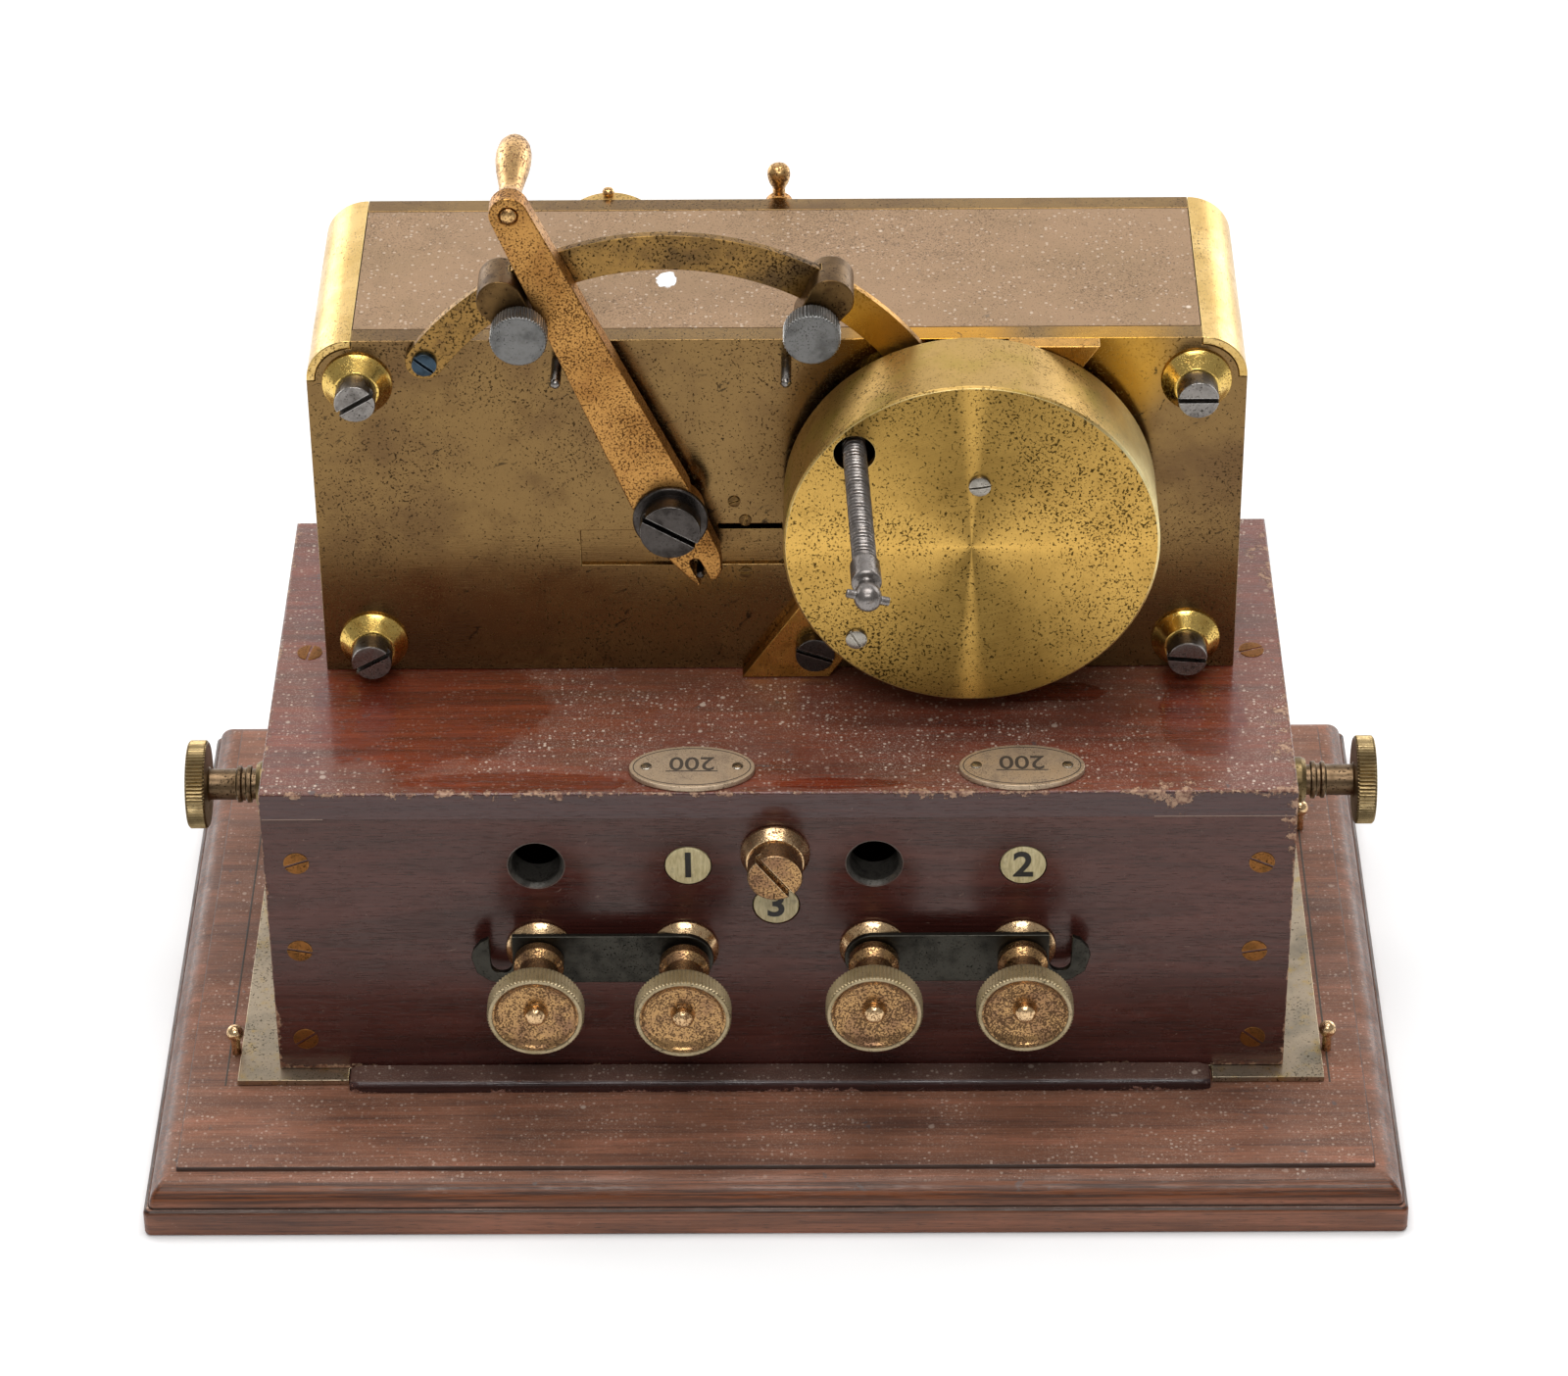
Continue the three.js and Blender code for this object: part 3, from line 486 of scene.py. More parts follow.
def chain(points):
    mesh = bpy.data.meshes.new("profile")
    mesh.from_pydata([(*p, 0) for p in points], [(k, k + 1) for k in range(len(points) - 1)], [])
    return mesh


def eased(profile, reach):
    """The profile with each real corner rounded over `reach`."""
    soft = [profile[0]]
    for a, p, b in zip(profile, profile[1:], profile[2:]):
        a, p, b = Vector(a), Vector(p), Vector(b)
        back, on = a - p, b - p
        if min(back.length, on.length) < 1e-6 or back.angle(on) > math.radians(165):
            soft.append(tuple(p))
            continue
        r = min(reach, back.length * 0.4, on.length * 0.4)
        start, stop = p + back.normalized() * r, p + on.normalized() * r
        soft += [tuple(start), tuple(start * 0.25 + p * 0.5 + stop * 0.25), tuple(stop)]
    return soft + [profile[-1]]


def outward(mesh):
    """The mesh with its doubles merged and its faces turned out."""
    work = bmesh.new()
    work.from_mesh(mesh)
    bmesh.ops.remove_doubles(work, verts=work.verts, dist=0.0015)
    bmesh.ops.dissolve_degenerate(work, edges=work.edges, dist=0.0005)
    bmesh.ops.recalc_face_normals(work, faces=work.faces)
    work.to_mesh(mesh)
    return mesh


def turned(profile, finish, segments=72, ease=0.15, knurls=0, depth=0.0, knurl_from=1000.0):
    profile = eased(profile, ease)
    sizes = {"Segments": knurls * 4 if knurls else segments, "Knurls": knurls, "Knurl_Depth": depth,
             "Knurl_From": knurl_from}
    return outward(TURNING.make(chain(profile), finish, **sizes))


ALONG_Y, ALONG_X = Matrix.Rotation(-math.pi / 2, 4, "X"), Matrix.Rotation(math.pi / 2, 4, "Y")


def at(x, y, z):
    return Matrix.Translation((x, y, z))


def moved(mesh, matrix):
    mesh.transform(matrix)
    return mesh


def turned_y(profile, x, z, finish, **how):
    """Turned about an axis along Y; the profile's stations are Y."""
    return moved(turned(profile, finish, **how), at(x, 0, z) @ ALONG_Y)


def arc(cx, cy, r, a0, a1, n):
    return [(cx + r * math.cos(math.radians(a0 + (a1 - a0) * k / n)),
             cy + r * math.sin(math.radians(a0 + (a1 - a0) * k / n)))
            for k in range(n + 1)]


def hole(x, z, r, n=24):
    """A ring of n points, to cut a round hole."""
    return arc(x, z, r, 0, 360 - 360 / n, n - 1)


def area(outline):
    return sum(a[0] * b[1] - b[0] * a[1] for a, b in zip(outline, outline[1:] + outline[:1])) / 2


def sheet_work(outline, low, high, ease=0.3, holes=()):
    """A flat piece lying in XY from low to high, with eased edges and holes through it."""
    curve = bpy.data.curves.new("outline", "CURVE")
    curve.dimensions, curve.fill_mode = "2D", "BOTH"
    for k, ring in enumerate([outline, *holes]):
        wanted = 1 if k == 0 else -1
        ring = ring if area(ring) * wanted > 0 else ring[::-1]
        spline = curve.splines.new("POLY")
        spline.points.add(len(ring) - 1)
        for dot, (x, y) in zip(spline.points, ring):
            dot.co = (x, y, 0, 1)
        spline.use_cyclic_u = True
    curve.extrude, curve.bevel_depth, curve.bevel_resolution, curve.offset = (high - low) / 2 - ease, ease, 2, -ease
    return outward(moved(plain_mesh(bpy.data.objects.new("outline", curve)), at(0, 0, (low + high) / 2)))


def upright(outline, front, back, ease=0.3, holes=()):
    """A flat piece drawn in X and Z, from front to back along Y."""
    return moved(sheet_work(outline, -back, -front, ease, holes), Matrix.Rotation(math.pi / 2, 4, "X"))


def block(low, high, ease=0.5, steps=3, lid=False):
    """A bar with rounded edges, or a lid rounded along its top edges only."""
    work = bmesh.new()
    bmesh.ops.create_cube(work, size=1)
    for v in work.verts:
        v.co = Vector(l + (h - l) * (c + 0.5) for l, h, c in zip(low, high, v.co))
    edges = [e for e in work.edges if not lid or all(v.co.z > low[2] + 0.01 for v in e.verts)]
    bmesh.ops.bevel(work, geom=edges, offset=ease, segments=steps, profile=0.5, affect="EDGES")
    mesh = bpy.data.meshes.new("block")
    work.to_mesh(mesh)
    return mesh


def lofted(rings, closed=True):
    """A skin over rings of equal length, capped at both ends."""
    mesh = bpy.data.meshes.new("lofted")
    n, faces = len(rings[0]), []
    for k in range(len(rings) - 1):
        faces += [(k * n + i, k * n + (i + 1) % n, (k + 1) * n + (i + 1) % n, (k + 1) * n + i) for i in range(n)]
    if closed:
        faces += [tuple(range(n))[::-1], tuple(range((len(rings) - 1) * n, len(rings) * n))]
    mesh.from_pydata([p for ring in rings for p in ring], [], faces)
    return mesh


def together(*meshes):
    """Several meshes as one."""
    work = bmesh.new()
    slots = []
    for mesh in meshes:
        first = len(work.faces)
        work.from_mesh(mesh)
        work.faces.ensure_lookup_table()
        paint = mesh.materials[0] if mesh.materials else None
        if paint not in slots:
            slots.append(paint)
        for face in work.faces[first:]:
            face.material_index = slots.index(paint)
    whole = bpy.data.meshes.new("together")
    work.to_mesh(whole)
    for paint in slots:
        whole.materials.append(paint)
    return whole


def carved(mesh, *tools):
    """The mesh with the tools' room cut out of it."""
    body = linked(bpy.data.objects.new("body", mesh))
    knives = []
    for tool in tools:
        knife = linked(bpy.data.objects.new("knife", tool))
        cut = body.modifiers.new("cut", "BOOLEAN")
        cut.object, cut.solver = knife, "EXACT"
        knives.append(knife)
    made = plain_mesh(body)
    for knife in knives:
        bpy.data.objects.remove(knife)
    return made


def fit(name, mesh, finish, *nodes, like=None, crease=32):
    """Makes a piece of the mesh and puts it on the body of the nodes it stands for, or of a neighbour."""
    moved(outward(mesh), Matrix.Scale(MM, 4))
    mesh.materials.clear()
    mesh.materials.append(finish)
    mesh.shade_smooth()
    mesh.set_sharp_from_angle(angle=math.radians(crease))
    shaper = bpy.data.objects.new("shaper", mesh)
    shaper.modifiers.new("even", "WEIGHTED_NORMAL").keep_sharp = True
    piece = linked(bpy.data.objects.new(name, plain_mesh(shaper)))
    owner = nodes[0] if nodes else like
    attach(piece, frame["nodes"][owner]["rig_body"])
    if nodes:
        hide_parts(*nodes)
    return piece


def lathe(name, profile, x, z, finish, *nodes, like=None, crease=32, **how):
    """A piece turned about an axis along Y."""
    return fit(name, turned_y(profile, x, z, finish, **how), finish, *nodes, like=like, crease=crease)


def keep(node, finish):
    """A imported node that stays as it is, in a better finish."""
    kept = frame["nodes"][node]
    kept.data.materials.clear()
    kept.data.materials.append(finish)


def span(node):
    low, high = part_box(node)
    return low / MM, high / MM


def mid(node):
    low, high = span(node)
    return (low + high) / 2


def facing_front(angle=0.0):
    return (math.pi / 2, -math.radians(angle), 0.0)


def facing_up(angle=0.0):
    return (0.0, 0.0, math.radians(angle))


def screws(name, finish, like, places, radius, height, slot=0.8, depth=0.6, chamfer=0.3, dome=0.0, nodes=()):
    """Slotted screws at (x, y, z, aim), as one piece."""
    mesh = bpy.data.meshes.new("places")
    mesh.from_pydata([p[:3] for p in places], [], [])
    aims = mesh.attributes.new("aim", "FLOAT_VECTOR", "POINT")
    for k, p in enumerate(places):
        aims.data[k].vector = p[3]
    sizes = {"Radius": radius, "Height": height, "Chamfer": chamfer, "Slot_Width": slot, "Slot_Depth": depth,
             "Dome": dome}
    return fit(name, SCREWS.make(mesh, finish, **sizes), finish, *nodes, like=like)


# ---- woods -------------------------------------------------------------------------------

BASE_LOW, BASE_HIGH = span("base_board")
BOX_LOW, BOX_HIGH = span("box_top")[0].copy(), span("box_top")[1].copy()
BOX_LOW.z = span("box_front")[0].z
BOX_MID = (BOX_LOW + BOX_HIGH) / 2

RUBBED = [(-84, -20, 30, 26), (-60, -50, 28, 4), (104, -21, 12, 22), (16, -51, 16, 2.4), (68, -14, 16, 4.5)]
# Darker plum painted as shade on the lid's upright faces.
PLUM_SIDE_SHADE = ("391b17", "4a2620")
DARK_WOOD = ("2f1613", "46221d", "583029")

# Painted shade on the base: a darker shoulder tone and dark lines along the moulding's grooves.
base_mahogany = timber("dusty base mahogany", "42241b", "724631", "965d46", (1, 0, 0), (0.3, 0.48), 0.2, glow="6b3818",
                       shaded_creases=((BASE_HIGH.z - 0.5, 1.0), (7.4, 0.7)), Coat_Weight=0.05,
                       Specular_Tint=(1.0, 0.88, 0.8, 1))
front_mahogany = timber("dark plum mahogany", *DARK_WOOD, (1, 0, 0), (0.2, 0.34), 0.0,
                        (BOX_LOW, BOX_HIGH), 0.5, Coat_Weight=0.15, Coat_Roughness=0.15,
                        Specular_Tint=(1.0, 0.84, 0.76, 1))
end_mahogany = timber("plum mahogany ends", *DARK_WOOD, (0, 1, 0), (0.22, 0.38), 0.0,
                      (BOX_LOW, BOX_HIGH), 0.5, Coat_Weight=0.15, Coat_Roughness=0.2, Specular_Tint=(1.0, 0.84, 0.8, 1))
lid_mahogany = timber("red mahogany lid", "42160d", "672616", "853a22", (1, 0, 0), (0.1, 0.26), 0.22,
                      (BOX_LOW, BOX_HIGH), 0.7, painted_side_shade=PLUM_SIDE_SHADE, rubbed=RUBBED, grit=0.95, Coat_Weight=0.2,
                      Coat_Roughness=0.1)
# The chip colour along the bar's edges is partly chipped wear and partly a painted highlight along its top edge.
bar_mahogany = timber("dark bar mahogany", "24100f", "351c1a", "4c2c27", (1, 0, 0), (0.22, 0.4), 0.25,
                      span("stop_bar"), 0.5, chip="a3796a")

# ---- metals ------------------------------------------------------------------------------

OLIVE = ("80653f", "6c5337", "6a5133", 0.24, 0.62, "2b2115", (0.16, 0.28), (40, 1, 1), "c9a45c")
back_brass = metal("olive back plate brass", *OLIVE, blotch=34, scars=True)
# Painted light: the two golden patches near the top are painted highlights where the plate is lit brighter; a darker
# brown patch lies between the pivot and the drum.
plate_brass = metal("olive plate brass", *OLIVE, blotch=34, scars=True, painted_light_and_dark_patches=((38, 192, 26, 0.9, "c08a2c"),
                    (80, 189, 20, 0.9, "b98a35"), (22, 158, 34, 0.8, "4e3820")))
cover_brass = metal("dusty cover brass", "97795a", "917556", "876c4e", 0.6, 0.4, "5f4a37", (0.5, 0.57), blotch=26,
                    flake=(-24.8, 23.3),
                    dusted=True, Metallic=0.35)
wrap_brass = metal("bright wrap brass", "d9b775", "c8a55e", "b48e48", 0.3, 0.55, "5c4726", (0.2, 0.3), (1, 40, 1),
                   "f2d898", blotch=20)
sheet_brass = metal("worn sheet brass", "b0a08a", "8f8676", "b8994f", 0.35, 0.7, "4f4636", (0.34, 0.48), (40, 1, 1),
                    "e6cc90", blotch=15)
end_brass = metal("aged end screw brass", "84714f", "6b5a3e", "6e5a3c", 0.3, 0.5, "3a2f20", (0.32, 0.46), edge="c8b285")
dusty_brass = metal("dusty number plates", "bda78c", "a6917a", "ab977d", 0.5, 0.4, "6b5948", (0.42, 0.55),
                    edge="dcc7a6", blotch=4, Metallic=0.6)
knurl_brass = metal("old knurled brass", "ac9b7b", "978662", "887755", 0.25, 0.5, "3f3424", (0.38, 0.5), edge="b9a780",
                    edge_reach=0.2, Metallic=0.75)
foot_brass = metal("pink foot brass", "e2c093", "c9a276", "b58a62", 0.8, 0.5, "6a4a30", (0.14, 0.26), edge="f6dfb4",
                   blotch=5)
cup_brass = metal("bright cup brass", "ecc870", "d9b15c", "c79a4a", 0.45, 0.5, "6a4e22", (0.14, 0.26), edge="fbe7ae",
                  blotch=6)
dish_brass = metal("spotted terminal brass", "b68f60", "957154", "896953", 1.4, 0.5, "523d2d", (0.2, 0.34),
                   edge="f2dfb8", blotch=7)
shank_bronze = metal("dull shank bronze", "76614a", "5e4b36", "584630", 0.4, 0.6, "2e2419", (0.34, 0.46), edge="b89f76",
                     blotch=6)
bronze = metal("coppery lever bronze", "bb8a4c", "a3733c", "a06f40", 1.0, 0.55, "4f321c", (0.3, 0.42), edge="e8b96c",
               blotch=14)
# The golden patch near the top of the quadrant is a painted highlight, the same lit tone as the plate behind it.
arc_bronze = metal("dark quadrant bronze", "94723f", "5f4a30", "6d5236", 0.75, 0.7, "231a12", (0.28, 0.42),
                   edge="e4b861", blotch=16, painted_light_and_dark_patches=((16, 194, 24, 0.9, "c08a2c"),))
clamp_bronze = metal("dark clamp bronze", "6a5131", "4c3822", "57422a", 0.3, 0.7, "241a10", (0.34, 0.5), edge="c9a05c",
                     blotch=6)
gold_brass = metal("spotted handle brass", "d8ae74", "bf9863", "9c6f45", 0.95, 0.6, "5a3920", (0.2, 0.34),
                   edge="f0d29a", blotch=6)
# The drum face's colour carries painted highlight beams and painted shade from its turned pattern.
drum_brass = metal("turned drum brass", "d2a858", "c1994e", "b79048", 0.62, 0.68, "1f1808", (0.26, 0.34), None,
                   "e8cf8e",
                   blotch=24, turned_at=tuple(mid("drum_cover")), grit=0.006, Anisotropic=0.6)
# The pale patch at the rim's right is a painted highlight and the dull patch at its top is painted shade.
drum_rim = metal("drum rim brass", "c3a05e", "ad944a", "9a7a40", 0.4, 0.6, "3a2d14", (0.42, 0.52), (1, 30, 1), "ecd89a",
                 blotch=12,
                 painted_light_and_dark_patches=((92, 168, 30, 0.98, "fff0b8"), (50, 196, 24, 0.5, "a98a52")))
bar_brass = metal("golden bar brass", "c8954b", "b0833d", "8d6830", 0.3, 0.5, "35260f", (0.22, 0.32), (1, 1, 30),
                  "f0c684")
shaft_steel = metal("grey spring steel", "8a8480", "6e6864", "6d6055", 0.35, 0.45, "3a3430", (0.26, 0.4), edge="d8d3ce",
                    blotch=5)
dark_steel = metal("dark steel", "4c4744", "373330", "3f3a36", 0.3, 0.4, "2a2725", (0.26, 0.4), edge="c4bfb9", blotch=4)
old_steel = metal("old cheese head steel", "86817c", "6c6763", "6d655d", 0.3, 0.5, "35312e", (0.24, 0.38),
                  edge="dedad5", blotch=4)
blued_steel = metal("blued steel", "3b4a56", "2b353d", "33404a", 0.1, 0.5, "1c2226", (0.3, 0.4), edge="7d8b96",
                    blotch=4)
# The near-white edge colour is partly worn edges and partly a painted highlight on the knurled rims of the thumbscrews.
nickel = metal("dull nickel", "787775", "62615f", "686661", 0.25, 0.5, "3f3d3a", (0.4, 0.52), (20, 1, 1), "f2f1ed",
               blotch=5)
screw_steel = metal("small steel screws", "a09a90", "857f75", "857a6b", 0.2, 0.4, "433c34", (0.25, 0.4), edge="d5cfc4",
                    blotch=3)
screw_brass = metal("brass wood screws", "86592f", "6b4a28", "5d3e22", 0.45, 0.4, "2a1a0f", (0.35, 0.5), edge="b5824a",
                    blotch=3)
port_metal = metal("blackened port rings", "5c5852", "38342f", "33302b", 0.3, 0.5, "1d1815", (0.3, 0.45), edge="8f867d",
                   blotch=3, Metallic=0.6)
strap_black = metal("blackened strap brass", "42403a", "32312d", "383833", 0.2, 0.5, "191a17", (0.34, 0.5),
                    edge="b3a888", edge_reach=0.25, blotch=7)


def ivory_finish():
    f = Finish("aged ivory", Subsurface_Weight=0.05)
    grain = f.noise(0.5, 4, 0.6, (1, 1, 6))
    colour = f.ramp(grain, (0.3, tone("a8966a")), (0.55, tone("c9b88b")), (0.75, tone("d8c99f")))
    colour = f.mix(f.step(f.noise(2.2, 4, 0.7, shift=14), 0.55, 0.72, 0, 0.55), colour, tone("8c7f63"))
    return f.end(colour, f.step(grain, 0.3, 0.7, 0.35, 0.5), Normal=f.bump(grain, 0.02))


def ink_finish(name, code, rough):
    f = Finish(name)
    worn = f.noise(0.5, 3, 0.6)
    return f.end(f.mix(f.step(worn, 0.5, 0.75, 0, 0.4), tone(code), tone("4a4436")), rough, Normal=f.bump(worn, 0.02))


ivory = ivory_finish()
ink = ink_finish("filled numerals", "1c1813", 0.5)
engraving = ink_finish("darkened engraving", "40362c", 0.6)
dry_glue = ink_finish("dry glue line", "8d7466", 0.6)
dark_inside = ink_finish("unlit inside", "0d0a08", 0.8)

# ---- base --------------------------------------------------------------------------------


def base_board():
    """Plinth, crease, ovolo and raised field, swept round the board with small rounded corners."""
    width, depth, top = BASE_HIGH.x - BASE_LOW.x, BASE_HIGH.y - BASE_LOW.y, BASE_HIGH.z
    profile = [(0.7, 0), (0.15, 0.25), (0, 0.8), (0, 6.2), (0.15, 6.8), (0.55, 7.25), (1.05, 7.38), (1.25, 7.3)]
    profile += [(7.5 - 6.2 * math.cos(math.radians(a)), 7.35 + 6.3 * math.sin(math.radians(a))) for a in range(0, 91,
                9)]
    profile += [(7.75, 13.68), (7.82, 13.75), (7.9, 14.5), (8.0, top - 0.16), (8.25, top), (9.5, top)]
    rings = []
    for inset, z in profile:
        ring, corner = [], max(1.6 - inset * 0.12, 0.35)
        hx, hy = width / 2 - inset - corner, depth / 2 - inset - corner
        for sx, sy, a in ((1, 1, 0), (-1, 1, 90), (-1, -1, 180), (1, -1, 270)):
            ring += [(x, y, z) for x, y in arc(sx * hx, sy * hy, corner, a, a + 90, 5)]
        rings.append(ring)
    return lofted(rings)


fit("base_moulding", base_board(), base_mahogany, "base_board")


PIN_NODES = [f"plate_pin_{k}" for k in (1, 2, 3, 4)]
pin_foot = span(PIN_NODES[0])[0].z
pins = bpy.data.meshes.new("pin places")
pins.from_pydata([(mid(node).x, mid(node).y, pin_foot) for node in PIN_NODES], [], [])
fit("plate_pins", PINS.make(pins, foot_brass, Centre=21.5 - pin_foot), foot_brass, *PIN_NODES)


def base_plate():
    low, high = span("base_plate")
    bar_low, bar_high = span("stop_bar")
    notch = [(low.x, low.y), (bar_low.x - 0.4, low.y), (bar_low.x - 0.4, bar_high.y + 0.4),
             (bar_high.x + 0.6, bar_high.y + 0.4),
             (bar_high.x + 0.6, low.y), (high.x, low.y), (high.x, high.y), (low.x, high.y)]
    return sheet_work(notch, low.z, high.z, 0.2)


fit("base_sheet", base_plate(), sheet_brass, "base_plate")


def stop_bar():
    """Wooden bar with a rounded front top edge and ends cut back at a slant."""
    low, high = span("stop_bar")
    high.z -= 1.3
    rings, slant = [], 2.6
    for k, x in enumerate((low.x, low.x + 0.3, low.x + slant, high.x - slant, high.x - 0.3, high.x)):
        drop = (slant, 2.0, 0, 0, 2.0, slant)[k]
        front = low.y + drop * 0.35
        section = [(high.y, low.z), (front, low.z), (front, low.z + 1.7 - drop * 0.3)]
        section += [(y + drop * 0.35, z - drop * 0.35) for y, z in arc(low.y + 1.3, high.z - 1.3, 1.3, 180, 95, 5)]
        section += [(high.y - 0.3, high.z - drop * 0.4), (high.y, high.z - 0.3 - drop * 0.4)]
        rings.append([(x, y, z) for y, z in section])
    return lofted(rings)


fit("stop_bar_worn", stop_bar(), bar_mahogany, "stop_bar")


def recess_edge_shade():
    """Thin dark strip beside each end of the plate, painted shade at the edge of a shallow recess the plate lies in."""
    low, high = span("base_plate")
    return together(*[block((x, low.y, BASE_HIGH.z - 0.05), (x + 0.45, high.y, BASE_HIGH.z + 0.06), 0.04, 1)
                      for x in (low.x - 3.3, high.x + 1.2)])


# The dark engraving finish is used here as painted shade.
fit("recess_edge_shade", recess_edge_shade(), engraving, like="base_board")

# ---- box ---------------------------------------------------------------------------------

PORTS = [(-56.8, 79.3), (24.2, 79.6)]


def box_front():
    low, high = span("box_front")
    holes = [hole(x, z, 6.7, 45) for x, z in PORTS]
    bored = [(f"terminal_post_{k}", 2.9, 24) for k in (1, 2, 3, 4)] + [("centre_screw", 2.9, 24)]
    for node, r, n in bored + [(f"label_disc_{k}", 5.75, 36) for k in (1, 2, 3)]:
        holes.append(hole(mid(node).x, mid(node).z, r, n))
    top = span("box_top")[0].z - 0.01
    outline = [(low.x, low.z), (high.x, low.z), (high.x, top), (low.x, top)]
    return upright(outline, low.y, high.y, 0.07, holes)


def port_lip(x, z):
    """Rounded mouth of a plug hole."""
    face = BOX_LOW.y
    return turned_y([(5.9, face + 8.4), (5.9, face + 1.3), (6.8, face - 0.05), (6.95, face - 0.03), (6.95, face + 3.2),
                     (6.3, face + 8.4), (5.9, face + 8.4)],
                    x, z, port_metal, ease=0.3)


fit("port_lips", together(*[port_lip(x, z) for x, z in PORTS]), port_metal, like="box_front")
fit("box_front_board", box_front(), front_mahogany, "box_front")
seam = span("box_top")[0].z
seams = [block((x0, BOX_LOW.y - 0.03, seam - 0.12), (x1, BOX_LOW.y + 0.2, seam + 0.12), 0.02, 1)
         for x0, x1 in ((BOX_LOW.x + 0.5, BOX_LOW.x + 15), (BOX_HIGH.x - 34, BOX_HIGH.x - 0.5))]
fit("box_seam_lines", together(*seams), dry_glue, like="box_front")
for side in ("left", "right"):
    low, high = span(f"box_side_{side}")
    sign = -1 if side == "left" else 1
    bore = turned([(0, 95), (4.25, 95), (4.25, 140), (0, 140)], end_mahogany, segments=40, ease=0.01)
    bore = moved(bore, at(BOX_MID.x, 2, 62) @ Matrix.Rotation(sign * math.pi / 2, 4, "Y"))
    fit(f"box_end_{side}", carved(block(low, high, 0.3), bore), end_mahogany, f"box_side_{side}")
low, high = span("box_back")
fit("box_back_board", block(low, high, 0.3), front_mahogany, "box_back")
low, high = span("box_top")
fit("box_lid", block(low, high, 0.7, 3, lid=True), lid_mahogany, "box_top")

for k in (1, 2, 3):
    c, (low, high) = mid(f"label_disc_{k}"), span(f"label_disc_{k}")
    disc = [(0, high.y), (5.45, high.y), (5.5, low.y + 0.3), (5.3, low.y + 0.05), (0, low.y - 0.02)]
    lathe(f"ivory_disc_{k}", disc, c.x, c.z, ivory, f"label_disc_{k}", ease=0.1)


def lettered(words, size, depth, matrix, bold=0.0):
    """Number or word strokes as a thin solid."""
    text = bpy.data.curves.new("strokes", "FONT")
    text.body, text.size, text.extrude = words, size, depth / 2
    text.align_x, text.align_y = "CENTER", "CENTER"
    text.offset = size * bold
    text.resolution_u = 4
    return moved(plain_mesh(bpy.data.objects.new("strokes", text)), matrix)


UPRIGHT = Matrix.Rotation(math.pi / 2, 4, "X")
numerals = [lettered(n, 10.2, 0.16, at(mid(f"label_disc_{k}").x, span(f"label_disc_{k}")[0].y - 0.03,
                                       mid(f"label_disc_{k}").z) @ UPRIGHT, 0.02)
            for k, n in ((1, "1"), (2, "2"), (3, "3"))]
fit("disc_numerals", together(*numerals), ink, like="label_disc_1")


def oval_work(side):
    low, high = span(f"oval_plate_{side}")
    c = (low + high) / 2
    rx, ry = (high.x - low.x) / 2, (high.y - low.y) / 2
    ring = [(c.x + rx * math.cos(t * math.pi / 40), c.y + ry * math.sin(t * math.pi / 40)) for t in range(80)]
    fit(f"number_plate_{side}", sheet_work(ring, low.z, high.z, 0.25), dusty_brass, f"oval_plate_{side}")
    turn = at(c.x, c.y + 1.4, high.z + 0.02) @ Matrix.Rotation(math.pi, 4, "Z")
    digits = lettered("200", 7.4, 0.06, turn, 0.008)
    line = block((c.x - 6.2, c.y - 2.0, high.z - 0.03), (c.x + 6.2, c.y - 1.6, high.z + 0.05), 0.03, 1)
    edge = []
    for t in range(80):
        a = t * math.pi / 40
        edge.append([(c.x + (rx - w) * math.cos(a), c.y + (ry - w) * math.sin(a), high.z + h) for w,
                     h in ((0.9, -0.05), (0.9, 0.03), (1.15, 0.03), (1.15, -0.05))])
    loop = lofted(edge + edge[:1], closed=False)
    fit(f"number_strokes_{side}", together(digits, line, loop), engraving, like=f"oval_plate_{side}")
    screws(f"number_plate_screws_{side}", screw_steel, f"oval_plate_{side}",
           [(c.x + s * 10.9, c.y, high.z - 0.1, facing_up(35 * s)) for s in (-1, 1)], 1.35, 0.35, 0.35, 0.3, 0.15, 0.1)


oval_work("left")
oval_work("right")

FRONT_SCREWS = [(-114.2, 80.3, 20), (-115, 53.7, -12), (-115.2, 26.2, 35), (116.9, 79.5, -25), (116.2, 52.6, 10),
                (116.9, 25.7, -40)]
screws("box_front_screws", screw_brass, "box_front", [(x, BOX_LOW.y + 0.35, z, facing_front(a)) for x, z,
                                                      a in FRONT_SCREWS],
       3.1, 0.55, 0.7, 0.4, 0.15)
screws("box_lid_screws", screw_brass, "box_top", [(x, y, BOX_HIGH.z - 0.35, facing_up(a)) for x, y,
                                                  a in ((-114.3, 3.9, 80), (117.3, 3.3, 20))],
       3.1, 0.55, 0.7, 0.4, 0.15)

c, (low, high) = mid("centre_screw"), span("centre_screw")
face = BOX_LOW.y
cup = [(0, face + 4), (2.5, face + 4), (2.5, face - 0.12), (8.3, face - 0.12), (8.35, face - 1.0), (7.7, face - 2.6),
       (6.95, face - 4.4), (0, face - 4.4)]
lathe("centre_cup", cup, c.x, c.z, foot_brass, like="centre_screw", ease=0.25)
screws("centre_slotted_screw", dish_brass, "centre_screw", [(c.x, face - 4.3, c.z, facing_front(-53))], 6.6,
       face - 4.3 - low.y, 1.6, 2.4, 0.6,
       nodes=("centre_screw",))

# ---- terminals and link straps -----------------------------------------------------------


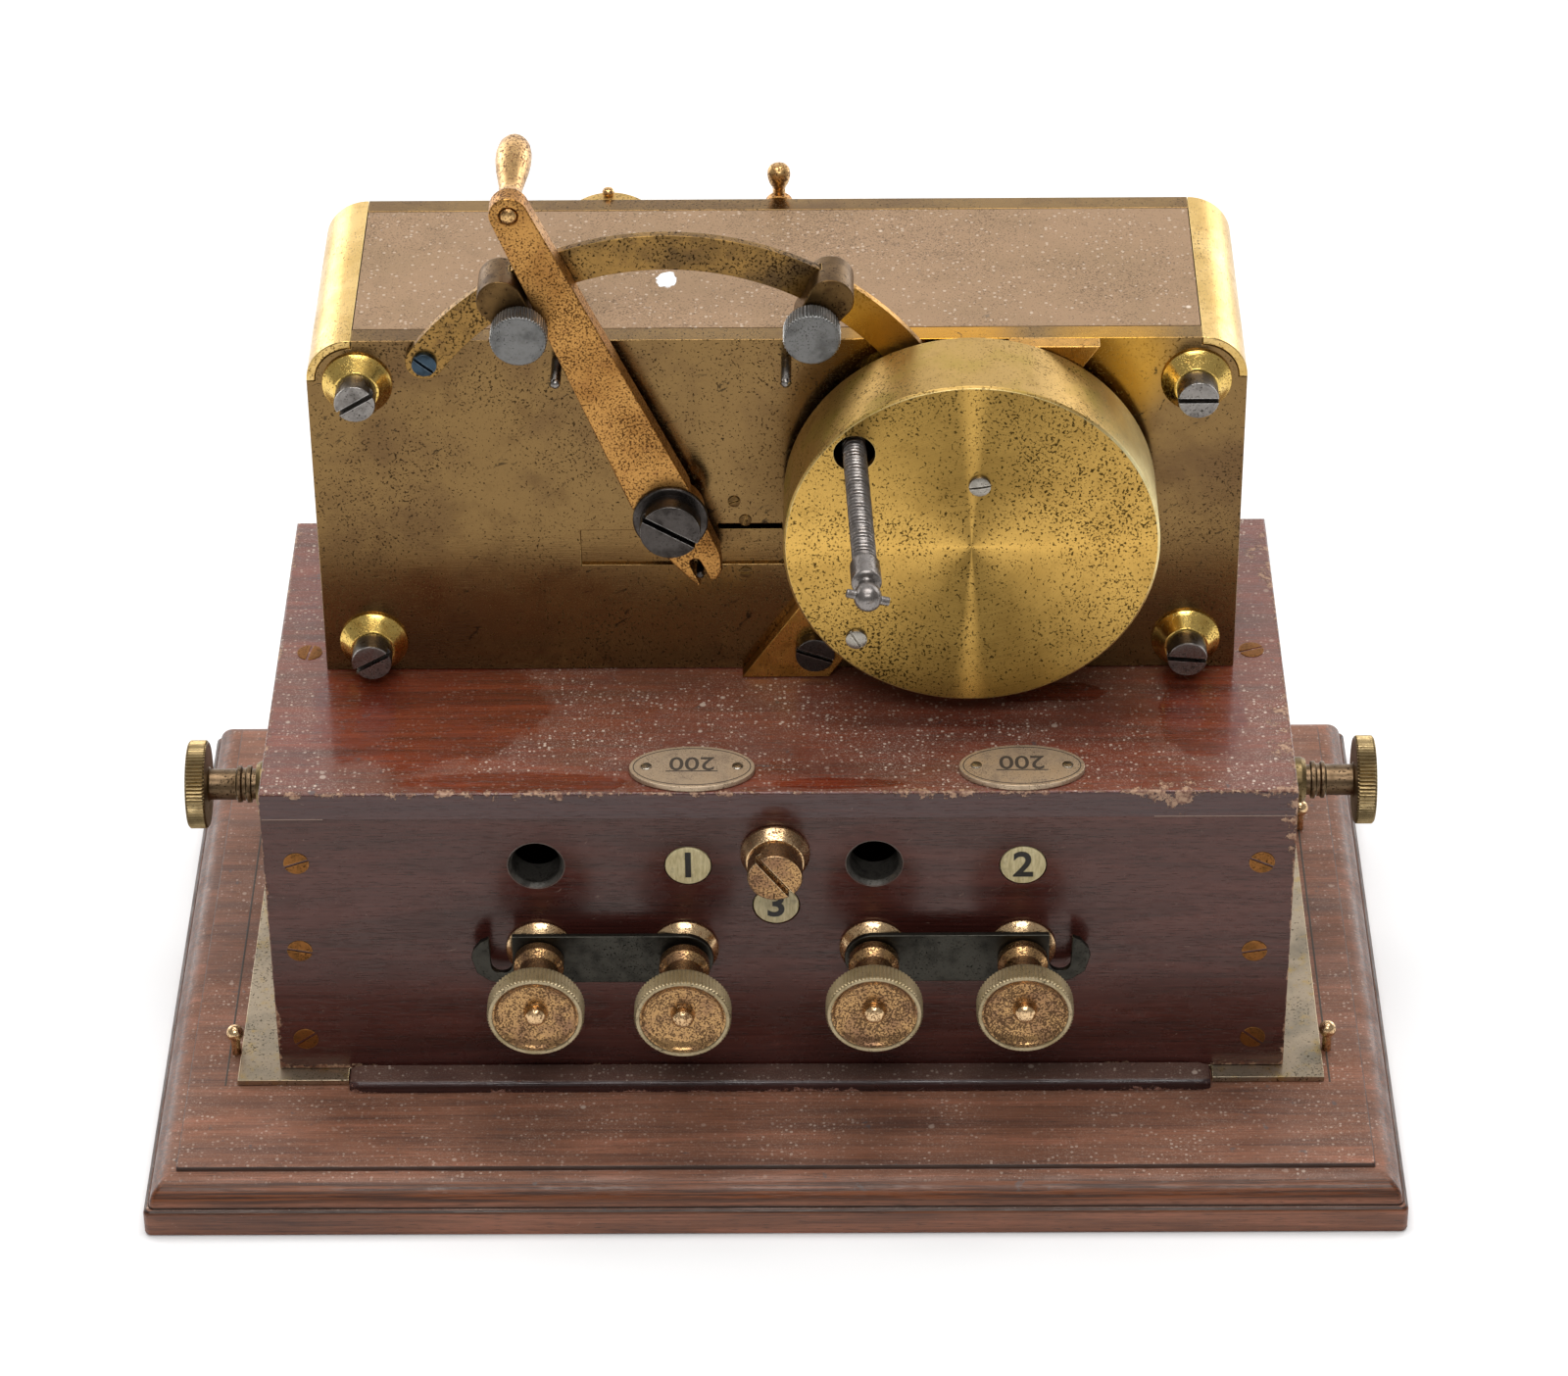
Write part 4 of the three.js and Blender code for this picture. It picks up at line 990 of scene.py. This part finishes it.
def terminal(k):
    """Conical foot and post, dished and knurled head, and the rounded boss in its middle."""
    c, (post_low, post_high) = mid(f"terminal_post_{k}"), span(f"terminal_post_{k}")
    y, f = BOX_LOW.y - 0.15, span(f"terminal_nut_{k}")[0].y
    post = [(0, post_high.y), (2.5, post_high.y), (2.5, y), (8.2, y), (8.25, y - 0.7), (7.2, y - 1.7), (5.5, -57.85),
            (2.9, -57.9), (2.9, post_low.y), (0, post_low.y)]
    lathe(f"terminal_foot_{k}", post, c.x, c.z, foot_brass, f"terminal_post_{k}", ease=0.25, segments=64)
    collar = -59.8 - (1 if k == 2 else 0)
    nut = [(0, -74.5), (3.2, -74.5), (3.2, collar), (5.6, collar), (6.1, collar - 0.5), (6.1, collar - 3.0),
           (5.3, collar - 3.6), (4.6, collar - 4.4),
           (4.4, collar - 6.5), (4.5, f + 8.4), (5.2, f + 6.6), (7.2, f + 5.7), (10.5, f + 5.5), (10.5, f + 0.5),
           (9.9, f + 0.7), (9.3, f + 1.3), (8.0, f + 1.85), (5.6, f + 2.15), (3.3, f + 2.2), (0, f + 2.2)]
    lathe(f"terminal_head_{k}", nut, c.x, c.z, dish_brass, f"terminal_nut_{k}", ease=0.18, segments=96)
    boss = [(0, f + 2.6), (3.0, f + 2.6), (3.0, f + 2.0), (2.75, f + 1.6), (2.7, f + 0.9), (2.45, f + 0.1),
            (1.8, f - 0.5), (0.9, f - 0.8), (0, f - 0.85)]
    lathe(f"terminal_boss_{k}", boss, c.x, c.z, foot_brass, like=f"terminal_nut_{k}", ease=0.1, segments=48)
    rim = [(10.4, f + 5.6), (11.0, f + 5.55), (11.6, f + 5.0), (11.6, f + 0.6), (11.1, f + 0.05), (10.6, f - 0.02),
           (10.3, f + 0.1), (10.2, f + 1.0),
           (10.4, f + 5.6)]
    lathe(f"terminal_rim_{k}", rim, c.x, c.z, knurl_brass, like=f"terminal_nut_{k}", crease=50,
          ease=0.1, knurls=76, depth=0.55, knurl_from=11.3)


for k in (1, 2, 3, 4):
    terminal(k)


STRAP_LEVEL = 54.4


def link_strap(side, inner, outer):
    """Swings about the inner terminal; a hook beyond the outer one."""
    pivot, far = mid(f"terminal_post_{inner}"), mid(f"terminal_post_{outer}")
    low, high = span(f"link_strap_{side}")
    s, d, h, hook = math.copysign(1, far.x - pivot.x), abs(far.x - pivot.x), 7.0, 16.4
    path = arc(0, 0, h, -90, -270, 24) + [(d + 6.4, h), (d + 6.4, -1)] + arc(d + 9.1, -1.4, 2.6, 180, 360, 14)
    path += [(d + 11.9, h - 0.6), (d + 14, h - 1.6), (d + hook - 0.6, h - 4), (d + hook, 0.6), (d + hook - 1.2, -h + 3),
             (d + hook - 4.2, -h + 0.6), (d + hook - 6, -h), (d + 3.3, -h)] + arc(d - 0.3, 0, 3.6, 0, 180,
                 18) + [(d - 4.2, -h)]
    outline = [(pivot.x + s * x, STRAP_LEVEL + z) for x, z in path]
    mesh = upright(outline, low.y, high.y, 0.25, [hole(pivot.x, STRAP_LEVEL, 3.25, 36)])
    fit(f"hooked_strap_{side}", mesh, strap_black, f"link_strap_{side}")


link_strap("left", 2, 1)
link_strap("right", 3, 4)

for side, sign in (("left", -1), ("right", 1)):
    c = mid(f"side_screw_{side}")
    reach = at(BOX_MID.x, c.y, c.z) @ Matrix.Rotation(sign * math.pi / 2, 4, "Y")
    out = max(abs(v.x - BOX_MID.x) for v in span(f"side_screw_{side}"))
    half = (BOX_HIGH.x - BOX_LOW.x) / 2 + 0.1
    bush = [(4.2, half), (5.7, half), (5.8, half + 0.5), (5.8, half + 6.3), (5.3, half + 7.4), (4.2, half + 7.5),
            (4.2, half)]
    fit(f"end_bush_{side}", moved(turned(bush, end_brass), reach), end_brass, f"side_bush_{side}")
    shank = [(0, 108), (3.8, 108), (3.8, half + 8.6), (4.7, half + 8.8), (4.7, half + 9.8), (4.1, half + 10.1),
             (4.1, half + 11), (4.6, half + 11.3),
             (4.6, half + 12.2), (3.9, half + 12.5), (3.9, out - 4.8), (0, out - 4.8)]
    fit(f"end_shank_{side}", moved(turned(shank, shank_bronze), reach), shank_bronze, like=f"side_screw_{side}")
    knob = [(0, out - 5.4), (4.0, out - 5.4), (4.4, out - 5.0), (10.5, out - 4.9), (11.05, out - 4.4),
            (11.05, out - 0.5), (10.5, out),
            (9.4, out), (8.8, out - 0.45), (0, out - 0.5)]
    mesh = moved(turned(knob, end_brass, knurls=72, depth=0.45, knurl_from=10.9), reach)
    fit(f"end_screw_{side}", mesh, end_brass, f"side_screw_{side}", crease=50)

# ---- clockwork case ----------------------------------------------------------------------

CASE_LOW, CASE_HIGH = span("front_plate")[0].copy(), span("back_plate")[1].copy()
CASE_LOW.y = span("corner_cover_left")[0].y
WRAP_TOP = span("corner_cover_left")[1].z
FACE, REAR = CASE_LOW.y, span("corner_cover_left")[1].y
R, SKIN = 10.9, 2.0  # of the rolled corner covers
START = (1.8, 160)  # x and z of the start lever's pivot


def end_plate_outline():
    """Case plate with its top corners rebated for the wrapped covers."""
    x0, x1, z0, zc, r = CASE_LOW.x, span("corner_cover_right")[1].x, CASE_LOW.z, WRAP_TOP - R, R - SKIN - 0.1
    return [(x0, z0), (x1, z0), (x1, zc - 0.1), (x1 - R + r, zc - 0.1), *arc(x1 - R, zc, r, 0, 90, 20),
            (x1 - R - 0.1, zc + r), (x1 - R - 0.1, WRAP_TOP),
            (x0 + R + 0.1, WRAP_TOP), (x0 + R + 0.1, zc + r), *arc(x0 + R, zc, r, 90, 180, 20), (x0 + R - r, zc - 0.1),
            (x0, zc - 0.1)]


def front_sheet():
    pivot, drum = mid("pivot_screw"), mid("drum_cover")
    sill = span("slide_bar")[0].z + 0.3
    window = [(-46, sill), (30, sill), (30, 141.6), (2.4, 141.6), (2.4, 143.4), (-12.9, 143.4), (-12.9, 141.6),
              (-46, 141.6)]
    holes = [window, hole(pivot.x, pivot.z, 3.4), hole(drum.x, drum.z, 3.4), hole(18.45, 180.1, 3)]
    holes += [hole(mid(f"corner_screw_{k}").x, mid(f"corner_screw_{k}").z, 2.7) for k in (1, 2, 3, 4)]
    return upright(end_plate_outline(), FACE, FACE + 5.3, 0.25, holes)


fit("front_sheet", front_sheet(), plate_brass, "front_plate")
cups = []
for k in (1, 2, 3, 4):
    c = mid(f"corner_screw_{k}")
    cone = [(0, FACE + 0.5), (8.3, FACE + 0.5), (8.35, FACE - 0.7), (7.4, FACE - 1.5), (5.35, FACE - 4.05),
            (4.9, FACE - 4.1), (0, FACE - 4.1)]
    cups.append(turned_y(cone, c.x, c.z, cup_brass, ease=0.22))
fit("corner_cups", together(*cups), cup_brass, like="front_plate")
heads = [(*mid(f"corner_screw_{k}"), facing_front(a)) for k, a in ((1, 32), (2, 0), (3, 30), (4, -5))]
low = span("corner_screw_1")[0]
screws("corner_cheese_heads", old_steel, "front_plate", [(x, FACE - 4.2, z, aim) for x, y, z, aim in heads], 4.85,
       FACE - 4.2 - low.y, 1.3, 2.4, 0.4,
       nodes=tuple(f"corner_screw_{k}" for k in (1, 2, 3, 4)))

boss = [(0, REAR - 1), (14.3, REAR - 1), (14.35, REAR + 3.4), (13.8, REAR + 4), (9, REAR + 4), (8.6, REAR + 3.6),
        (0, REAR + 3.6)]
stud = [(0, 193.6), (0.95, 193.6), (0.95, 195.2), (1.4, 195.7), (1.5, 196.3), (1.1, 197.0), (0, 197.3)]
fit("back_sheet", upright(end_plate_outline(), REAR - 5.3, REAR, 0.25, [hole(*START, 2.4)]), back_brass, "back_plate")
lathe("back_boss", boss, -39.5, 181, drum_rim, like="back_plate", segments=96)
fit("back_boss_screw", moved(turned(stud, gold_brass, segments=32), at(-40, REAR + 2.2, 0)), gold_brass,
    like="back_plate")
low, high = span("top_cover")
fit("case_lid", block(low, high, 0.2, 2), cover_brass, "top_cover")


def wrap(side):
    """Corner cover rolled over the case's long edge."""
    low, high = span(f"corner_cover_{side}")
    s = 1 if side == "left" else -1
    cx, cz = (low.x + R) if s > 0 else (high.x - R), WRAP_TOP - R
    a0, a1 = (90, 180) if s > 0 else (90, 0)
    ring = arc(cx, cz, R, a0, a1, 24) + arc(cx, cz, R - SKIN, a1, a0, 24)
    return upright(ring, low.y, high.y, 0.3)


for side in ("left", "right"):
    fit(f"rolled_corner_{side}", wrap(side), wrap_brass, f"corner_cover_{side}")
    low, high = span(f"end_cover_{side}")
    fit(f"case_end_{side}", block(low, high, 0.25, 2), wrap_brass, f"end_cover_{side}")

# ---- speed lever and quadrant ------------------------------------------------------------

PIVOT = mid("pivot_screw")
LEAN = 23.1  # degrees from upright
GRIP_AT = 90.3


def hung(mesh, angle):
    """A shape drawn upright over the pivot at the origin, swung clockwise by angle and carried to the pivot."""
    return moved(mesh, at(PIVOT.x, 0, PIVOT.z) @ Matrix.Rotation(math.radians(angle), 4, "Y"))


def speed_lever():
    low, high = span("speed_lever")
    tail = 20.6
    outline = arc(0, GRIP_AT, 4.6, 0, 180, 20) + [(-7.4, 6)] + arc(0, 0, 8, 150, 205, 8) + [(-5.4, -11), (-2.1, -tail),
        (-1.3, -tail)]
    outline += arc(0, -14.4, 1.3, 180, 0, 8) + [(1.3, -tail + 0.6), (2.8, -tail), (5.2, -tail + 2), (6.6, -14)] + arc(0,
        0, 8, -30, 30, 8) + [(7.4, 6)]
    return hung(upright(outline, low.y, high.y, 0.45, [hole(0, 0, 3.3), hole(0, GRIP_AT, 2.2)]), -LEAN)


fit("lever_arm", speed_lever(), bronze, "speed_lever")
low, high = span("speed_lever")
b = high.y
grip = [(0, low.y - 0.7), (1.2, low.y - 0.6), (2.05, low.y + 0.05), (2.1, b + 0.05), (3.7, b + 0.1), (3.95, b + 0.9),
        (3.6, b + 1.8), (2.75, b + 3.2),
        (2.6, b + 5.2), (2.85, b + 8.5), (3.35, b + 12), (3.9, b + 16), (4.25, b + 20), (4.2, b + 23), (3.75, b + 26),
        (2.8, b + 28.3), (1.5, b + 29.5), (0, b + 29.8)]
fit("lever_grip", hung(moved(turned(grip, gold_brass, ease=1.0), at(0, 0, GRIP_AT) @ ALONG_Y), -LEAN), gold_brass,
    "lever_handle", crease=50)

low, high = span("pivot_screw")
w = -11.95
washer = [(3.0, w), (9, w), (9, w - 0.75), (8.7, w - 1), (3.0, w - 1), (3.0, w)]
shank = [(0, high.y), (2.9, high.y), (2.9, w - 1.2), (0, w - 1.2)]
fit("pivot_washer", together(turned_y(washer, PIVOT.x, PIVOT.z, dark_steel),
                             turned_y(shank, PIVOT.x, PIVOT.z, dark_steel, segments=32)),
    dark_steel, like="pivot_screw")
screws("pivot_slotted_head", dark_steel, "pivot_screw", [(PIVOT.x, w - 1, PIVOT.z, facing_front(-31))], 7.3,
       w - 1 - low.y, 1.4, 2.2, 0.45,
       nodes=("pivot_screw",))

OUTER, INNER, SPAN = 74.4, 65.3, 54.8
MIDDLE, HALF = (OUTER + INNER) / 2, (OUTER - INNER) / 2


def quadrant():
    low, high = span("arc_strip")
    left, right = 90 + SPAN, 90 - SPAN
    ring = arc(0, 0, OUTER, right, left, 72)
    cx, cz = MIDDLE * math.cos(math.radians(left)), MIDDLE * math.sin(math.radians(left))
    ring += arc(cx, cz, HALF, left, left + 180, 14)[1:-1]
    ring += arc(0, 0, INNER, left, right, 72)
    cx, cz = MIDDLE * math.cos(math.radians(right)), MIDDLE * math.sin(math.radians(right))
    ring += arc(cx, cz, HALF, right - 180, right, 14)[1:-1]
    return hung(upright(ring, low.y, high.y, 0.2), 0)


fit("quadrant_strip", quadrant(), arc_bronze, "arc_strip")
foot = mid("arc_screw")
screws("quadrant_screw", blued_steel, "arc_screw", [(foot.x, span("arc_strip")[0].y + 0.02, foot.z, facing_front(-40))],
       3.0, 1.45, 0.75, 0.7, 0.35, 0.15,
       nodes=("arc_screw",))


SCREW_AT = 63.4  # the thumbscrews' distance from the pivot


def clamp(side, angle):
    """Sliding stop: a tapered body slotted over the strip, tightened by a thumbscrew."""
    low, high = -12.2, -0.7
    strip = span("arc_strip")
    body = upright(arc(0, 71.5, 5.45, 0, 180, 24) + arc(0, SCREW_AT, 4.2, 180, 360, 20), low, high, 0.4)
    groove = upright(arc(0, 0, OUTER + 0.35, 70, 110, 40) + arc(0, 0, INNER - 0.35, 110, 70, 40), strip[0].y - 0.3,
                     strip[1].y + 0.3, 0.01)
    back = block((-9, strip[1].y, 50), (9, 3, 66.3), 0.01, 1)
    bore = moved(turned([(0, low - 1), (1.8, low - 1), (1.8, -6.9), (0, -6.9)], clamp_bronze, segments=24, ease=0.01),
                 at(0, 0, SCREW_AT) @ ALONG_Y)
    fit(f"stop_clamp_{side}", hung(carved(body, groove, back, bore), angle), clamp_bronze, f"clamp_{side}")
    knob = [(0, -7.1), (1.5, -7.1), (1.5, -12.9), (6.2, -12.9), (6.7, -13.4), (6.7, -18.05), (6.3, -18.45),
            (5.9, -18.5), (0, -18.5)]
    mesh = hung(moved(turned(knob, nickel, knurls=48, depth=0.42, knurl_from=6.5, ease=0.12),
                      at(0, 0, SCREW_AT) @ ALONG_Y), angle)
    fit(f"thumbscrew_{side}", mesh, nickel, f"clamp_screw_{side}", crease=50)


clamp("left", -32.4)
clamp("right", 32.4)

# ---- slide bar, stop pins and small screws of the front plate ------------------------------

low, high = span("slide_bar")
back = FACE + 2.5
bar = block((low.x, FACE + 0.9, low.z), (high.x, back, high.z), 0.15, 2)
drop = 15.9  # from the pivot down to the pin
pin_x, pin_z = PIVOT.x + drop * math.tan(math.radians(LEAN)), PIVOT.z - drop
fit("slide_band", bar, plate_brass, "slide_bar")
fork_pin = [(0, FACE + 2), (0.95, FACE + 2), (0.95, low.y + 0.4), (0.6, low.y), (0, low.y)]
lathe("fork_pin", fork_pin, pin_x, pin_z, dark_steel, like="slide_bar", segments=32)
for side in ("left", "right"):
    c, (low, high) = mid(f"stop_pin_{side}"), span(f"stop_pin_{side}")
    pin = [(0, high.y), (1.25, high.y), (1.25, low.y + 1.1), (1.0, low.y + 0.4), (0.5, low.y + 0.05), (0, low.y)]
    lathe(f"steel_stop_{side}", pin, c.x, c.z, old_steel, f"stop_pin_{side}", segments=32)
screws("front_plate_screws", clamp_bronze, "front_plate",
       [(-9, FACE + 0.05, 149.9, facing_front(20)), (-6.4, FACE + 0.05, 144.5, facing_front(70)),
        (-6.4, FACE + 0.05, 129.4, facing_front(0))], 1.5, 0.45, 0.35, 0.3, 0.15)

# ---- drum, carrier bar, wheel work and drive shaft ---------------------------------------

DRUM = mid("drum_cover")
low, high = span("drum_bar")
slope = 63.9
bar_outline = [(low.x, low.z), (low.x + 21.1, low.z), (low.x + 21.1 + slope * (high.z - low.z) / 94.5, high.z),
               (low.x + slope * (high.z - low.z) / 94.5, high.z)]
fit("carrier_bar", upright(bar_outline, low.y, FACE - 0.02, 0.3, [hole(DRUM.x, DRUM.z, 3.4)]), bar_brass, "drum_bar")
screws("carrier_bar_screw", dark_steel, "drum_bar", [(10.2, low.y + 0.02, 109.6, facing_front(-20))], 4.8, 3.4, 1.1,
       1.2, 0.4)

low, high = span("drum_cover")
DRUM_R = (high.x - low.x) / 2
turned_face = [(0, low.y), (DRUM_R - 0.55, low.y), (DRUM_R - 0.55, low.y + 2), (0, low.y + 2)]
rim_band = [(DRUM_R - 0.56, low.y + 0.02), (DRUM_R, low.y + 0.55), (DRUM_R, high.y), (DRUM_R - 2.4, high.y),
            (DRUM_R - 2.4, low.y + 1.9),
            (DRUM_R - 0.56, low.y + 1.9), (DRUM_R - 0.56, low.y + 0.02)]
HOLE = (19.7, 180.1)
mouth = turned_y([(0, low.y - 2), (4.9, low.y - 2), (4.9, low.y + 4), (0, low.y + 4)], *HOLE, dark_inside, segments=48,
                 ease=0.01)
fit("drum_shell", carved(turned_y(turned_face, DRUM.x, DRUM.z, drum_brass, segments=192, ease=0.1), mouth), drum_brass,
    "drum_cover")
lathe("drum_rim_band", rim_band, DRUM.x, DRUM.z, drum_rim, like="drum_cover", segments=192, ease=0.15)
screws("drum_screws", screw_steel, "drum_cover", [(48.9, low.y + 0.02, 171.2, facing_front(8)),
                                                  (20.1, low.y + 0.02, 127.9, facing_front(-58))], 2.6, 1.0, 0.55, 0.6,
       0.3, 0.2)
keep("drum_wheel", knurl_brass)

ROOT, TIP = Vector((18.0, 10, 180.14)), Vector((22.35, -88.5, 180.14))
SHAFT = Matrix.Translation(ROOT) @ (TIP - ROOT).normalized().to_track_quat("Z", "Y").to_matrix().to_4x4()
LONG = (TIP - ROOT).length
COIL_FROM = 34
core = [(0, -6), (2, -6), (2, LONG - 13), (3.2, LONG - 12.8), (3.45, LONG - 12.4), (3.45, LONG - 5.6),
        (3.2, LONG - 5.1), (2.0, LONG - 4.9),
        (1.8, LONG - 4.4), (1.8, LONG - 3.4), (2.4, LONG - 2.8), (3.0, LONG - 1.6), (3.2, LONG - 0.1),
        (3.0, LONG + 1.3), (2.3, LONG + 2.4), (1.3, LONG + 3.0), (0, LONG + 3.1)]
spring = SPRING.make(chain([(0, 0), (0, 1)]), shaft_steel, Turns=38.0, Coil=2.3, Wire=0.55,
                     Length=LONG - 13 - COIL_FROM)
spring = moved(spring, at(0, 0, COIL_FROM))
rod = turned([(0, -5), (1, -5), (1, 5), (0, 5)], shaft_steel, segments=24, ease=0.3)
rod = moved(rod, at(0, 0, LONG) @ Matrix.Rotation(math.radians(-16), 4, "Z") @ Matrix.Rotation(math.pi / 2, 4, "Y"))
pinion = [moved(block((1.5, -0.9, -1.2), (10.6, 0.9, 1.2), 0.25, 2), Matrix.Rotation(k * math.pi / 6, 4,
          "Z")) for k in range(12)]
shaft = together(turned(core, shaft_steel, ease=0.4), rod, spring, *pinion)
fit("flexible_shaft", moved(shaft, SHAFT), shaft_steel, "drive_shaft", crease=45)

# ---- start lever behind the case ---------------------------------------------------------

tongue = upright(arc(START[0], 192, 3.6, 0, 180, 20) + arc(*START, 5.5, 180, 360, 24), REAR + 0.4, REAR + 3.2, 0.35)
pinned = turned_y([(0, REAR - 4), (2.1, REAR - 4), (2.1, REAR + 4.2), (1.6, REAR + 4.6), (0, REAR + 4.6)], *START,
                  gold_brass, segments=32)
knob = [(0, 192), (1.6, 192), (1.55, 196.6), (1.8, 197.2), (2.3, 198.1), (2.7, 199.3), (2.85, 200.6), (2.65, 201.8),
        (2.0, 202.7), (0.9, 203.15), (0, 203.2)]
fit("start_tongue", tongue, bronze, "start_lever")
knob = moved(turned(knob, gold_brass, segments=40, ease=0.4), at(START[0], REAR + 3.1, 0))
fit("start_knob", together(knob, pinned), gold_brass, like="start_lever")

# ---- room, light and camera --------------------------------------------------------------


def floor():
    mesh = bpy.data.meshes.new("floor")
    mesh.from_pydata([(-6, -6, 0), (6, -6, 0), (6, 6, 0), (-6, 6, 0)], [], [(0, 1, 2, 3)])
    paper = Finish("white paper", Specular_IOR_Level=0.1)
    grain = paper.noise(900, 2)
    mesh.materials.append(paper.end(paper.mix(grain, tone("f1f1f1"), tone("f6f6f6")), 0.9))
    linked(bpy.data.objects.new("floor", mesh))


def softbox(name, place, target, width, height, power):
    lamp = bpy.data.lights.new(name, "AREA")
    lamp.shape, lamp.size, lamp.size_y, lamp.energy = "RECTANGLE", width, height, power
    box = linked(bpy.data.objects.new(name, lamp))
    box.location = place
    box.rotation_mode = "QUATERNION"
    box.rotation_quaternion = (Vector(target) - Vector(place)).to_track_quat("-Z", "Y")


def camera():
    """Long lens, 35.5 degrees above the table, turned and tipped a little."""
    lens = bpy.data.cameras.new("camera")
    lens.sensor_width, lens.lens, lens.clip_start, lens.clip_end = 36.0, 120.5, 0.05, 20.0
    pitch, yaw, roll = (math.radians(a) for a in (35.522, -0.668, -0.639))
    ahead = Vector((math.sin(yaw) * math.cos(pitch), math.cos(yaw) * math.cos(pitch), -math.sin(pitch)))
    right = Vector((math.cos(yaw), -math.sin(yaw), 0))
    up = right.cross(ahead)
    across = math.cos(roll) * right + math.sin(roll) * up
    above = -math.sin(roll) * right + math.cos(roll) * up
    eye = linked(bpy.data.objects.new("camera", lens))
    turn = Matrix((across, above, -ahead)).transposed().to_4x4()
    eye.matrix_world = Matrix.Translation((0.014685, -1.052283, 0.843497)) @ turn
    bpy.context.scene.camera = eye


floor()
softbox("overhead", (0.0, 0.15, 1.6), (0, 0, 0), 1.3, 0.9, 20)
softbox("backdrop glow", (0.0, 1.9, 0.75), (0, 0, 0.3), 3.8, 1.5, 22)
softbox("left side", (-1.3, 1.15, 0.5), (0, 0, 0.1), 1.1, 0.9, 8.5)
softbox("right side", (1.3, 1.15, 0.5), (0, 0, 0.1), 1.1, 0.9, 8.5)
softbox("front fill", (0.0, -1.3, 1.6), (0, 0, 0.1), 1.0, 0.5, 12)
world = bpy.data.worlds.new("room")
world.use_nodes = True
world.node_tree.nodes["Background"].inputs["Color"].default_value = (1, 1, 1, 1)
world.node_tree.nodes["Background"].inputs["Strength"].default_value = 0.3
bpy.context.scene.world = world
bpy.context.scene.view_settings.view_transform = "Standard"
camera()
